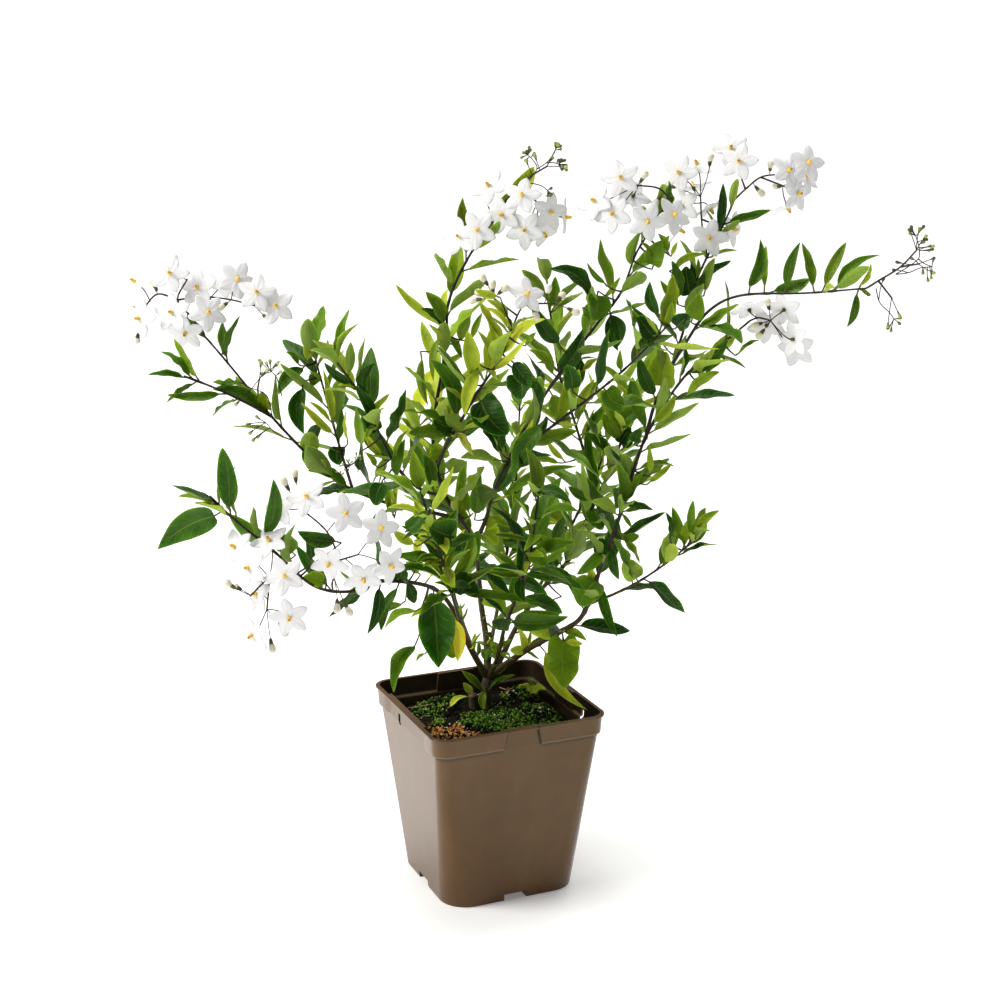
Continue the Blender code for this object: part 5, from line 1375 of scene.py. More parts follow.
# Leaves set singly by their stem: foot, tip, width, age, tone, sideways bow, and 1 where seen from below
tracedLeaves = dict(
    cane_centre=(
        (-27, 8, 398, -41, -2, 424, 10.4, .45, .4, .05, 0), (-27, 8, 398, -45, 1, 412, 6.9, .85, .5, .1, 0),
        (-20, 7, 387, -11, 2, 407, 7.8, .42, .75, 0, 0), (-11, 0, 390, -3, -1, 410, 4.3, .45, .6, 0, 0),
        (-35, 12, 341, -19, 10, 353, 6.1, .45, .3, .05, 0), (-45, 1, 383, -40, 2, 345, 6.9, .45, .5, .06, 1),
        (-28, 10, 386, -32, 11, 354, 8.7, .85, .6, -.1, 0), (-32, 7, 396, -36, -4, 363, 6.1, .42, .55, .05, 0),
        (-27, 8, 395, -17, 7, 377, 5.2, .5, .5, -.06, 0), (-46, 4, 340, -58, 3, 341, 3.6, .5, .2, .06, 0),
        (-12, 13, 264, -20, 13, 289, 9.6, .45, .3, -.05, 0), (-18, 18, 258, -24, 19, 277, 7.4, .4, .2, .06, 0),
        (-28, 2, 298, -15, -4, 308, 8.9, .5, .6, 0, 1), (-21, 18, 248, -16, 13, 230, 9.6, .85, .5, -.06, 0),
        (-15, 36, 214, 43, 11, 206, 13.4, .87, .5, -.08, 0), (-5, 44, 195, 13, 43, 185, 8.6, .4, .1, -.14, 0),
    ),
    cane_mid_up=(
        (-8, -48, 370, -12, -60, 407, 10.4, .3, .1, -.05, 0), (-5, -52, 384, -14, -63, 352, 8.7, .28, .1, .05, 0),
        (2, -47, 377, -6, -59, 407, 6.5, .24, .1, .05, 0), (9, -50, 388, -1, -50, 417, 6.9, .24, .2, .05, 0),
        (16, -53, 406, -2, -54, 421, 5.2, .2, .1, .1, 0), (9, -64, 429, -7, -70, 435, 5.2, .26, .1, -.08, 0),
        (16, -56, 413, 0, -59, 427, 6.9, .33, .2, .05, 0), (9, -50, 388, 24, -51, 409, 5.2, .16, .1, .08, 0),
        (2, -47, 377, 26, -61, 402, 5.2, .2, .1, .05, 0), (25, -59, 397, 32, -60, 406, 4.3, .5, .3, 0, 0),
        (15, -55, 388, 33, -65, 370, 9.5, .9, .5, .06, 0), (21, -57, 380, 23, -65, 363, 12.1, .85, .5, -.08, 0),
        (-7, -41, 361, 14, -52, 337, 14.8, .9, .4, .1, 0), (-28, -26, 339, -44, -32, 348, 6.9, .6, .3, .08, 0),
        (-15, -30, 333, -27, -33, 346, 7.8, .5, .6, 0, 1), (-21, -23, 334, -36, -29, 342, 10.4, .8, .4, -.05, 0),
        (-33, 2, 307, -36, -1, 320, 9.6, .38, .1, .04, 0),
    ),
    cane_tall_mid=(
        (25, -6, 330, 38, -7, 360, 8.7, .5, .5, .05, 1), (51, -10, 386, 29, -16, 420, 13, .85, .5, -.08, 0),
        (48, -3, 366, 65, -4, 400, 11.3, .9, .6, .1, 0), (48, -3, 366, 28, -10, 386, 9.5, .45, .2, .08, 0),
        (42, -3, 358, 58, -11, 332, 11.3, .5, .3, .04, 0), (61, -3, 385, 58, -11, 358, 9.5, .78, .4, -.1, 0),
        (63, -7, 370, 75, -9, 380, 5.2, .25, .1, 0, 0), (75, -10, 419, 40, -18, 441, 11.3, .85, .5, .12, 0),
        (74, -13, 426, 70, -19, 407, 12.1, .6, .3, -.06, 0), (82, -6, 413, 88, -16, 386, 7.8, .9, .5, .1, 0),
        (21, -9, 322, 41, -15, 341, 9.5, .85, .5, .1, 0), (95, -10, 439, 103, -14, 467, 11.3, .5, .4, -.06, 1),
        (109, -19, 450, 101, -20, 459, 3.9, .5, .5, .06, 0), (109, -18, 441, 116, -19, 460, 8.7, .56, .3, -.08, 0),
        (120, -21, 451, 112, -21, 465, 5.2, .5, .3, .06, 0), (121, -22, 450, 125, -24, 460, 3.5, .35, .1, 0, 0),
        (82, -6, 413, 87, -15, 388, 9.5, .85, .5, -.16, 0), (75, -8, 416, 69, -14, 405, 10.4, .6, .3, .06, 0),
        (80, -12, 429, 66, -20, 446, 4.3, .6, .3, -.06, 0), (77, -9, 419, 89, -8, 435, 4.3, .38, .2, .05, 0),
        (64, -8, 371, 75, -8, 380, 5.2, .28, .1, 0, 0),
    ),
    cane_mid_top=(
        (62, 68, 320, 76, 54, 354, 7.8, .3, .1, -.06, 0), (44, 75, 407, 24, 66, 430, 7.8, .45, .5, .04, 1),
        (45, 76, 399, 48, 67, 425, 7.8, .55, .3, .05, 0), (66, 66, 309, 87, 61, 335, 8.7, .6, .3, .06, 0),
        (54, 56, 292, 30, 54, 294, 5.9, .4, .1, .06, 0), (72, 63, 290, 56, 61, 299, 7.4, .42, .1, .05, 1),
        (56, 58, 292, 42, 52, 311, 4.4, .25, .1, -.05, 0),
    ),
    cane_right_diag=(
        (75, -65, 371, 88, -67, 356, 10.4, .6, .3, .1, 0), (8, -23, 313, -18, -26, 315, 9.6, .5, .5, .06, 1),
        (-9, 14, 261, -4, 1, 298, 11.1, .6, .3, .05, 0), (-5, 25, 250, 7, 24, 240, 11.1, .35, .2, 0, 0),
        (-3, 22, 254, 9, 20, 261, 6.6, .3, .1, 0, 0), (39, -52, 349, 17, -52, 306, 14, .74, .35, .04, 0),
        (11, -23, 316, 0, -35, 343, 11.1, .8, .4, .04, 0), (2, 7, 274, 62, -4, 304, 8.9, .5, .5, -.06, 0),
        (0, 16, 263, 18, 11, 256, 5.9, .4, .1, -.06, 0), (111, -86, 412, 116, -89, 430, 6.9, .42, .3, .05, 0),
        (108, -91, 419, 102, -90, 443, 7.8, .85, .5, -.08, 0), (106, -83, 405, 95, -82, 420, 7.8, .95, .6, 0, 0),
        (106, -83, 405, 98, -83, 403, 9.5, .7, .4, .05, 0), (118, -90, 413, 127, -90, 422, 7.8, .95, .7, 0, 0),
        (86, -72, 382, 85, -77, 398, 5.2, .5, .2, 0, 0), (56, -65, 368, 52, -67, 386, 7.8, .8, .5, .05, 0),
    ),
    cane_mid_right=(
        (95, 47, 310, 83, 39, 332, 9.5, .55, .2, 0, 0), (54, 54, 192, 4, 41, 177, 10.5, .45, .3, .06, 1),
        (77, 56, 263, 58, 55, 275, 6.6, .7, .4, -.06, 0), (76, 56, 259, 83, 49, 244, 9.6, .7, .4, -.05, 0),
        (91, 49, 298, 67, 40, 318, 8.1, .7, .4, .06, 0), (95, 47, 310, 83, 39, 332, 8.1, .5, .2, -.04, 0),
        (94, 48, 306, 102, 48, 318, 8.9, .95, .7, 0, 0), (100, 44, 326, 80, 42, 348, 12.2, .5, .25, -.05, 0),
        (95, 47, 310, 82, 39, 333, 8.9, .5, .25, -.06, 0), (92, 38, 323, 110, 34, 335, 8.9, .6, .35, -.08, 0),
        (94, 48, 306, 102, 42, 321, 8.9, .95, .7, 0, 0),
    ),
    cane_left_back=(
        (-124, 26, 370, -126, 26, 391, 6, .25, .1, .05, 0), (-129, 23, 369, -139, 22, 379, 4.8, .6, .4, .1, 0),
        (-125, 26, 370, -144, 16, 350, 8.8, .72, .4, .12, 0), (-128, 21, 359, -126, 7, 324, 11.2, .8, .5, .14, 0),
        (-117, 28, 364, -122, 28, 354, 5.6, .45, .3, .1, 0), (-106, 16, 327, -111, -3, 372, 7.2, .28, .1, -.03, 0),
        (-104, 13, 320, -127, 0, 348, 6.4, .18, .1, -.04, 0), (-107, 17, 330, -123, 13, 346, 4.8, .2, .1, .05, 0),
        (-103, 11, 317, -100, 12, 342, 7.2, .7, .6, .04, 0), (-103, 11, 317, -103, 8, 302, 8, .85, .5, .1, 0),
        (-96, 3, 318, -96, -2, 343, 4, .22, .1, 0, 0), (-87, -4, 310, -87, -7, 302, 4.8, .85, .5, 0, 0),
    ),
    cane_left_mid=(
        (-85, -66, 372, -103, -75, 389, 6.4, .8, .6, -.06, 0), (-89, -67, 378, -86, -73, 402, 7.2, .55, .5, 0, 1),
        (-96, -69, 389, -98, -72, 398, 4, .3, .1, 0, 0), (-80, -64, 364, -70, -69, 388, 8, .85, .5, -.16, 0),
        (-73, -57, 346, -84, -69, 373, 7.2, .85, .5, .06, 0), (-75, -59, 351, -62, -66, 367, 5.6, .35, .2, .04, 0),
        (-81, -59, 328, -84, -66, 358, 7.6, .5, .2, .05, 0), (-68, -46, 318, -81, -52, 340, 4.8, .15, .1, -.05, 0),
        (-70, -54, 338, -80, -54, 352, 7.2, .85, .5, -.05, 0), (-73, -57, 346, -78, -62, 337, 4, .5, .5, 0, 0),
        (-62, -41, 317, -51, -47, 339, 4.8, .5, .2, -.05, 0), (-72, -46, 313, -81, -46, 324, 4.8, .45, .2, 0, 0),
        (-62, -41, 303, -54, -41, 332, 8.1, .6, .3, -.05, 0), (-36, -3, 284, -44, -6, 313, 9.6, .7, .5, .05, 0),
        (-69, -47, 305, -74, -49, 288, 8.1, .82, .5, .06, 0),
    ),
    cane_left_long=(
        (-123, -14, 316, -119, -17, 331, 8.8, .4, .1, .05, 1),
        (-111, -13, 304, -125, -13, 318, 8.8, .75, .5, -.06, 0),
        (-91, -10, 289, -122, -17, 304, 8.8, .65, .3, .08, 0), (-145, -18, 342, -169, -27, 357, 8, .55, .4, .1, 0),
        (-148, -18, 345, -150, -22, 360, 7.2, .35, .1, 0, 0), (-73, -15, 297, -69, -16, 313, 6.4, .5, .5, 0, 1),
        (-77, -16, 297, -68, -23, 315, 5.9, .5, .5, .05, 0), (-64, -7, 268, -69, -16, 297, 8.1, .38, .1, .04, 0),
        (-65, -11, 271, -60, -15, 299, 4.4, .15, .1, -.04, 0),
    ),
    cane_back_left=(
        (-58, 123, 303, -66, 121, 311, 4, .5, .3, .06, 0),
    ),
    cane_front_left=(
        (-41, -95, 307, -46, -98, 337, 11.1, .42, .4, -.04, 0), (-52, -93, 282, -37, -93, 296, 8.1, .75, .5, .12, 0),
        (-21, -77, 274, -37, -85, 284, 14, .75, .4, -.08, 0), (-45, -84, 270, -60, -85, 281, 6.6, .35, .2, -.06, 0),
        (-26, -45, 234, -6, -50, 227, 13.4, .87, .6, -.05, 0), (-20, -2, 194, -18, -5, 204, 3.8, .3, .1, 0, 0),
    ),
    cane_left_shoot=(
        (-146, -20, 341, -180, -42, 365, 12.5, .66, .4, .06, 0),
        (-169, -46, 364, -207, -60, 365, 7.5, .58, .25, -.08, 0),
    ),
    cane_low_left=(
        (-47, -40, 192, -63, -62, 161, 10, .56, .3, .2, 0),
        (-139, -111, 280, -132, -120, 324, 12, .74, .3, .06, 0),
        (-92, -104, 278, -119, -112, 288, 9.5, .78, .5, -.08, 0),
        (-112, -96, 262, -115, -104, 284, 8, .8, .5, .05, 0), (-104, -88, 246, -118, -96, 253, 7, .4, .1, .05, 0),
        (-121, -108, 271, -133, -112, 285, 9, .6, .3, .0, 1),
        (-48, -44, 242, -36, -59, 279, 5.9, .2, .1, -.05, 0), (-43, -30, 227, -14, -48, 272, 7.4, .22, .1, .05, 0),
        (-45, -39, 237, -55, -41, 247, 5.2, .35, .2, 0, 0), (-59, -48, 234, -55, -53, 249, 8.1, .82, .5, 0, 0),
        (-29, 1, 178, -24, -5, 165, 9.5, .5, .2, 0, 0), (-45, -31, 211, -70, -38, 198, 7.6, .5, .3, .14, 0),
        (-36, -14, 205, -53, -19, 200, 4.8, .35, .1, .08, 0), (-55, -47, 221, -73, -52, 208, 6.7, .42, .2, .1, 0),
        (-43, -3, 169, -50, -7, 163, 3.8, .45, .2, .1, 1),
    ),
    cane_front=(
        (20, -59, 246, 66, -66, 234, 8.6, .72, .4, -.05, 0), (13, -15, 193, 51, -23, 205, 14.3, .65, .3, .05, 0),
        (8, 6, 166, 3, 6, 174, 4.8, .4, .2, 0, 0), (9, 1, 172, 17, -2, 178, 3.8, .5, .3, 0, 0),
        (28, -96, 311, 54, -108, 305, 9.6, .85, .6, -.12, 0), (29, -68, 262, 40, -75, 255, 8.1, .55, .3, -.05, 0),
    ),
    cane_right_main=(
        (47, 3, 180, 29, 1, 184, 7.6, .3, .1, .05, 0), (27, 16, 163, 21, 13, 182, 6.7, .2, .1, .12, 0),
        (27, 16, 163, 16, 16, 164, 4.8, .25, .1, 0, 0), (52, -1, 184, 70, -8, 179, 5.7, .4, .1, -.1, 0),
        (54, -6, 178, 67, -11, 178, 4.8, .22, .1, 0, 0), (76, -20, 230, 64, -21, 209, 14.3, .6, .3, .05, 0),
        (73, -17, 220, 71, -18, 237, 6.7, .3, .1, 0, 0), (90, -30, 276, 70, -37, 288, 8.1, .42, .1, .1, 1),
        (90, -30, 276, 86, -43, 316, 9.6, .55, .3, .04, 0), (96, -32, 300, 91, -37, 321, 7.4, .6, .4, .05, 1),
        (88, -29, 269, 104, -30, 242, 6.6, .45, .2, .06, 0), (84, -26, 256, 73, -27, 249, 8.1, .87, .6, .05, 0),
        (82, -25, 252, 61, -35, 236, 9.6, .55, .3, -.05, 0), (84, -26, 256, 90, -31, 231, 8.9, .76, .5, .05, 0),
        (73, -17, 220, 70, -16, 236, 5.9, .3, .1, 0, 0), (130, -30, 370, 159, -32, 397, 10.4, .76, .4, .05, 0),
        (139, -32, 369, 150, -40, 392, 6.9, .3, .1, -.04, 1), (129, -36, 358, 153, -42, 377, 9.5, .42, .2, -.05, 0),
        (164, -32, 386, 180, -31, 396, 3.5, .5, .4, -.06, 0), (157, -33, 384, 144, -35, 374, 4.3, .5, .4, .05, 0),
        (98, -38, 327, 102, -42, 339, 5.9, .8, .6, 0, 0), (110, -32, 338, 125, -35, 361, 8.1, .38, .3, .05, 0),
        (107, -32, 332, 140, -44, 357, 6.6, .42, .15, .06, 1), (109, -37, 305, 108, -42, 328, 5.9, .4, .15, .06, 0),
        (107, -36, 299, 124, -36, 314, 5.2, .35, .15, .04, 0), (98, -32, 306, 102, -31, 321, 3.7, .35, .3, 0, 0),
        (92, -31, 285, 105, -40, 309, 7.4, .5, .3, .05, 0), (91, -30, 279, 108, -31, 283, 3.7, .5, .25, .05, 0),
        (91, -30, 279, 98, -32, 268, 3.7, .5, .25, 0, 0), (94, -32, 259, 103, -33, 263, 4.4, .55, .3, -.05, 0),
    ),
    cane_back_right=(
        (56, 103, 234, 42, 101, 256, 11.1, .4, .1, -.05, 0), (55, 97, 234, 39, 95, 241, 4.4, .22, .1, .04, 0),
        (56, 98, 221, 64, 96, 235, 6.6, .35, .2, .04, 0), (48, 92, 221, 31, 92, 235, 8.9, .5, .4, 0, 0),
        (50, 90, 212, 63, 87, 229, 8.1, .38, .2, -.05, 0), (84, 128, 272, 77, 122, 290, 6.6, .45, .2, .05, 0),
        (82, 128, 298, 89, 124, 323, 9.6, .6, .35, -.05, 0),
    ),
    cane_back_centre=(
        (8, 98, 219, 42, 98, 220, 11.1, .65, .4, -.06, 0), (6, 100, 222, 31, 100, 234, 5.9, .42, .2, .06, 0),
    ),
    cane_right_low=(
        (102, -38, 232, 93, -38, 247, 9.6, .4, .1, 0, 1), (122, -57, 265, 118, -58, 286, 5.2, .76, .5, .05, 0),
        (118, -48, 247, 127, -50, 272, 8.1, .42, .2, -.06, 1), (130, -54, 258, 137, -54, 283, 6.6, .45, .35, -.04, 0),
        (136, -61, 272, 143, -61, 281, 3.7, .4, .3, 0, 0), (133, -56, 262, 146, -59, 275, 3.7, .6, .35, .05, 0),
    ),
    cane_right_top=(
        (123, 10, 436, 147, 7, 448, 5.2, .4, .1, -.1, 0), (130, 14, 413, 124, 4, 444, 11.3, .7, .45, .04, 0),
        (139, 18, 415, 135, 15, 439, 9.5, .95, .7, 0, 0), (141, 19, 422, 139, 19, 444, 5.2, .9, .7, 0, 0),
        (143, 20, 429, 143, 17, 444, 4.3, .4, .1, 0, 0), (147, 12, 419, 153, 4, 446, 8.7, .5, .5, -.05, 1),
        (145, 15, 419, 147, 8, 436, 5.2, .76, .4, 0, 0), (130, 14, 413, 117, 10, 430, 6.1, .45, .4, -.05, 0),
        (123, 5, 383, 97, -9, 415, 11.3, .8, .4, -.05, 0), (117, -7, 357, 121, -6, 384, 14.8, .36, .15, 0, 0),
        (114, -12, 351, 102, -14, 383, 10.4, .8, .5, -.05, 0),
    ),
    cane_right_long=(
        (135, -26, 407, 139, -32, 427, 8.7, .5, .3, -.05, 0), (138, -19, 401, 166, -30, 420, 8.7, .5, .35, .06, 0),
    ),
)

# Leaves
leafLook = dict(
    around=16, petioleEnd=0.16, thick=0.2, petioleThick=0.55, slim=0.35, broad=0.5, seed=11, ownSeed=5, tries=14,
    reachTries=5, tryTurn=24.0, tryShrink=0.03, golden=137.5, rib=0.35, stalkRows=(0.0, 0.05, 0.1, 0.145),
    bladeRows=(.012, .04, .08, .14, .21, .29, .37, .46, .55, .64, .72, .8, .87, .93, .97),
)
fillLook = dict(
    leafLook, around=12, stalkRows=(0.0, 0.08), bladeRows=(.02, .07, .15, .26, .38, .5, .62, .74, .85, .94))
smallLook = dict(leafLook, around=8, stalkRows=(0.0, 0.09), bladeRows=(.02, .1, .24, .42, .6, .78, .92))
# How old each stem's leaves look, from new and lime to old and dark
leafAge = dict(
    cane_low_left=0.78, cane_centre=0.34, cane_right_main=0.62, cane_mid_right=0.5, cane_back_centre=0.5,
    cane_back_left=0.5, cane_front=0.64, cane_front_left=0.5, cane_left_long=0.7, cane_left_mid=0.48,
    cane_left_back=0.64, cane_left_shoot=0.58, cane_mid_up=0.36, cane_right_diag=0.6, cane_tall_mid=0.58,
    cane_right_low=0.5, cane_right_top=0.66, cane_right_long=0.52, cane_mid_top=0.36, cane_back_right=0.55,
)


viewer = turned([(0, -1, 0)])[0]  # the level direction to the camera


def faced(foot, tip):  # the measures of a leaf between two places, its face to the viewer
    ends = turned([foot, tip])
    along, toward = unit(ends[1] - ends[0]), turned([(0.2, -1, 0.4)])[0]
    return dict(foot=ends[0], along=along, length=np.linalg.norm(ends[1] - ends[0]), bend=0.02, twist=0.15,
                normal=squareTo(along, toward))


# Leaves that differ from their stem's own: age, tone and other measures
setLook = {
    ("cane_low_left", 0): dict(age=0.8, tone=0.45, width=26),
    ("cane_low_left", 1): dict(age=0.09, tone=0.0, width=9.5),
    ("cane_low_left", 2): None,  # it's in the table of leaves above instead
    ("cane_low_left", 3): dict(
        age=0.76, tone=0.35, width=18.5, heel=0.4, blunt=0.95, sickle=0.06, ripple=0.16, lobes=0.7, fold=0.35,
        **faced((-163.5, -118, 303.4), (-209.5, -106, 274))),
    ("cane_low_left", 4): dict(age=0.74, tone=0.4, width=13.0),
    ("cane_right_main", 0): dict(
        age=0.5, tone=0.0, heel=0.38, blunt=0.7, width=25.0, lobes=1.5, fold=0.3, sickle=0.03,
        **faced((53, 2, 181.5), (54, -20, 149))),
    ("cane_right_main", 1): dict(age=0.22, tone=0.0, sickle=0.14, width=9.0),
}


def leafPlace(leaf, t):
    # The rib's place at t and the directions across the blade and out of its face there: the rib bends
    # away from the normal by the square of t, and the blade twists evenly about it
    foot, along, normal = (leaf[key][:, None] for key in ("foot", "along", "normal"))
    length, bend, twist = (leaf[key][:, None, None] for key in ("length", "bend", "twist"))
    middle = foot + length * (t * along - bend * t * t * normal)
    side = np.cross(along, normal)
    risen = unit(normal + 2 * bend * t * along)
    cos, sin = np.cos(twist * t), np.sin(twist * t)
    return middle, cos * side + sin * risen, cos * risen - sin * side


def leafShapes(leaf, look):
    # Flattened tubes: the blade's half width is s^p (1 - s)^q along it, its section an ellipse folded up
    # at the rib and rippled more towards its edges, and it runs down into a round stalk
    stalkEnd = look["petioleEnd"]
    t = np.array([*look["stalkRows"], *(stalkEnd + (1 - stalkEnd) * np.array(look["bladeRows"]))])
    angle = np.linspace(math.pi, -math.pi, look["around"], endpoint=False)
    u, v = np.cos(angle)[None, None], np.sin(angle)[None, None]
    s = np.clip((t - stalkEnd) / (1 - stalkEnd), 0, 1)[None, :, None]
    length, width, fold, ripple, phase, beats = (
        leaf[key][:, None, None] for key in ("length", "width", "fold", "ripple", "phase", "beats"))
    arch, sickle, heel, blunt, lobes = (
        leaf[key][:, None, None] for key in ("arch", "sickle", "heel", "blunt", "lobes"))
    peak = heel / (heel + blunt)
    outline = s**heel * (1 - s) ** blunt / (peak**heel * (1 - peak) ** blunt) * (s > 0)
    half = outline * width / 2
    round_ = look["petioleThick"] * (1 - 0.75 * s) * (1 - s**8)
    through = look["thick"] * (1 - s**6) + (look["petioleThick"] - look["thick"]) * np.exp(-s / 0.03)
    across = u * np.hypot(half, round_ * np.exp(-s / 0.2))
    beat = np.sin(2 * math.pi * (beats * s + phase + 0.37 * np.sign(u)))
    lift = v * through + fold * half * (np.sqrt(u * u + 0.03) - 0.17)
    lift = lift + ripple * half * u * u * beat * ease(s, 0.03, 0.25) * ease(1 - s, 0.02, 0.2)
    lift = lift + look["rib"] * (1 - s) * (s > 0) * (v - 0.4) * np.exp(-((u / 0.2) ** 2))
    bow = 4 * s * (1 - s) * length
    middle, out, high = leafPlace(leaf, t[None, :, None])
    middle, out, high = middle[:, :, None], out[:, :, None], high[:, :, None]
    rings = middle + out * (across + sickle * bow)[..., None] + high * (lift + arch * bow)[..., None]
    behind = lobes * half * np.abs(u) ** 0.9 * np.exp(-s / 0.09)  # the heel's two lobes reach back past the stalk
    rings = rings - leaf["along"][:, None, None] * behind[..., None]
    tip = leafPlace(leaf, np.ones((1, 1, 1)))[0][:, 0]
    stalk = np.clip(t / stalkEnd - 1, -1, 0)[None, :, None]
    return lofted(rings, leaf["foot"], tip, across=u, along=s + stalk, under=np.clip(0.5 - 2 * v, 0, 1),
                  age=leaf["age"][:, None, None], tone=leaf["tone"][:, None, None])


def leafArrays(leaves):  # a list of leaves as one dictionary of arrays
    return {key: np.array([leaf[key] for leaf in leaves], float) for key in leaves[0]}


def leafWith(rng, foot, along, normal, length, width, bend, twist, fold, age):
    # A leaf's measures, with its own small differences; a broad one has a heart-shaped heel and a blunt tip
    broad = width / length > leafLook["broad"]
    heel = 0.24 if broad else rng.uniform(0.46, 0.68)
    width = width * 1.18 if broad else width * rng.uniform(0.62, 0.88)
    return dict(foot=foot, along=along, normal=normal, length=length, width=width, bend=bend, twist=twist,
                fold=2.1 * fold, age=age, heel=heel, ripple=rng.uniform(0.05, 0.3), phase=rng.uniform(0, 1),
                beats=rng.uniform(1.3, 2.8), arch=rng.uniform(-0.09, 0.09), sickle=rng.uniform(-0.11, 0.11),
                blunt=0.6 if broad else rng.uniform(0.72, 1.0), tone=rng.uniform(0, 1),
                lobes=0.25 if broad else 0.0)


def tried(name, route, s, along, normal, length, width, draw, tries, rng, age):
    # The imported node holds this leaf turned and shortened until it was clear: the one whose tip is there
    bend, twist = draw.uniform(0.05, 0.3), draw.uniform(-0.6, 0.6)
    fold = draw.uniform(0.15, 0.4)
    axis, foot = route.direction(s), route.point(s)
    for k in range(tries):
        turn = math.radians(leafLook["tryTurn"]) * swing(k)
        cos, sin = math.cos(turn), math.sin(turn)
        swung = [v * cos + np.cross(axis, v) * sin + axis * axis.dot(v) * (1 - cos) for v in (along, normal)]
        size = 1 - leafLook["tryShrink"] * k
        tip = foot + length * size * (swung[0] - bend * swung[1])
        if hasPoint(name, tip):
            return leafWith(rng, foot, *swung, length * size, width * size, bend, twist, fold, age)
    return None


def outFrom(axis, turn):  # a direction square to a stem's axis, at a turn about it
    side = unit(np.cross(axis, (0.6, 0.8, 0.05)))
    return math.cos(turn) * side + math.sin(turn) * np.cross(axis, side)


def packedLeaves():  # the set leaves first, then the leaves by rule, a golden turn apart
    found = {name: [] for name in canes}
    draw, rng = random.Random(leafLook["seed"]), random.Random(leafLook["ownSeed"])
    for name, cane in canes.items():
        route = routes[name]
        for k, (foot, tip, width) in enumerate(cane["reach"]):
            ends = turned([foot, tip])
            s = min(max(route.nearest(ends[0]), cane["stub"] + 5), route.length - 1.5)
            reach = ends[1] - route.point(s)
            along = unit(reach)
            normal = squareTo(along, up + 0.8 * viewer)
            age = min(1, leafAge[name] + rng.uniform(-0.1, 0.16))
            made = tried(name, route, s, along, normal, np.linalg.norm(reach), width, draw,
                         leafLook["reachTries"], rng, age)
            look = setLook.get((name, k), {})
            if made and look is not None:
                found[name].append((s, {**made, **look}))
    for name, cane in canes.items():
        route = routes[name]
        first = cane["stub"] + 5 + cane["bare"] * route.length
        phase = draw.uniform(0, 2 * math.pi)
        for i in range(cane["leaves"]):
            share = (i + 0.5 + draw.uniform(-0.25, 0.25)) / cane["leaves"]
            s = first + (route.length - 2 - first) * share
            axis = route.direction(s)
            out = outFrom(axis, phase + i * math.radians(leafLook["golden"]))
            lift = math.radians(draw.uniform(38, 66) - 18 * share)
            along = unit(axis * math.cos(lift) + out * math.sin(lift) + up * draw.uniform(0.0, 0.35))
            normal = squareTo(along, axis + 0.5 * up - 0.3 * out)
            length = cane["leaf"] * draw.uniform(0.72, 1.18) * (1 - 0.22 * share)
            width = length * leafLook["slim"] * draw.uniform(0.85, 1.15)
            age = min(max(leafAge[name] - 0.3 * (share - 0.45) + rng.uniform(-0.24, 0.32), 0.19), 1)
            made = tried(name, route, s, along, normal, length, width, draw, leafLook["tries"], rng, age)
            if made:
                found[name].append((s, made))
    return ({name: [leaf for s, leaf in pairs] for name, pairs in found.items()},
            {name: [s for s, leaf in pairs] for name, pairs in found.items()})


leaves, feet = packedLeaves()
print("leaves found in the packed stems:", sum(map(len, leaves.values())))

# Young growth: small leaves in the axils and along the leafy parts, lime and folded
youngGrowth = dict(
    seed=41, share=0.3, count=(1, 2), length=(12, 32), slim=(0.24, 0.38), age=(0.14, 0.5),
    fuller=("cane_centre", "cane_mid_up", "cane_mid_top", "cane_left_mid", "cane_front_left", "cane_mid_right"),
)


def inBox(place, spare=0.004):
    return all(low + spare < value * mm < high - spare for value, low, high in zip(place, *cadBox))


def youngLeaves(name, route, found, rng, share=youngGrowth["share"], size=1.0):
    # From each leaf's foot one or two small leaves, between the stem's direction and the leaf's own
    made = []
    for s in found:
        if rng.random() > share * (2 if name in youngGrowth["fuller"] else 1):
            continue
        foot, axis = route.point(s), route.direction(s)
        for _ in range(rng.randint(*youngGrowth["count"])):
            out = unit(np.array([rng.gauss(0, 1) for _ in range(3)]))
            out = squareTo(axis, out)
            along = unit(axis * rng.uniform(0.3, 1.1) + out * rng.uniform(0.5, 1.2) + up * rng.uniform(0, 0.4))
            normal = squareTo(along, axis + 0.4 * up - 0.4 * out)
            length = size * rng.uniform(*youngGrowth["length"])
            if inBox(foot + along * length * 1.05):
                width = length * rng.uniform(*youngGrowth["slim"])
                age = min(max(rng.uniform(*youngGrowth["age"]) + 0.4 * (leafAge[name] - 0.5), 0.12), 0.8)
                made.append(leafWith(rng, foot, along, normal, length, width, rng.uniform(0.0, 0.3),
                                     rng.uniform(-0.7, 0.7), rng.uniform(0.2, 0.6), age))
    return made


# Filling leaves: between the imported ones, each where it has most air of nine random tries. The shares are
# of the number of packed leaves, and the other stems get none
filling = dict(
    seed=23, tries=9, apart=9.0, length=(0.6, 1.12), lowest=158, middle=0.58,
    shares=dict(cane_front=0.5, cane_front_left=0.5, cane_mid_right=0.3, cane_back_centre=0.6, cane_back_left=0.5,
                cane_back_right=0.5),
)
centres = [leaf["foot"] + filling["middle"] * leaf["length"] * leaf["along"]
           for found in leaves.values() for leaf in found]
centres += flowerPlaces


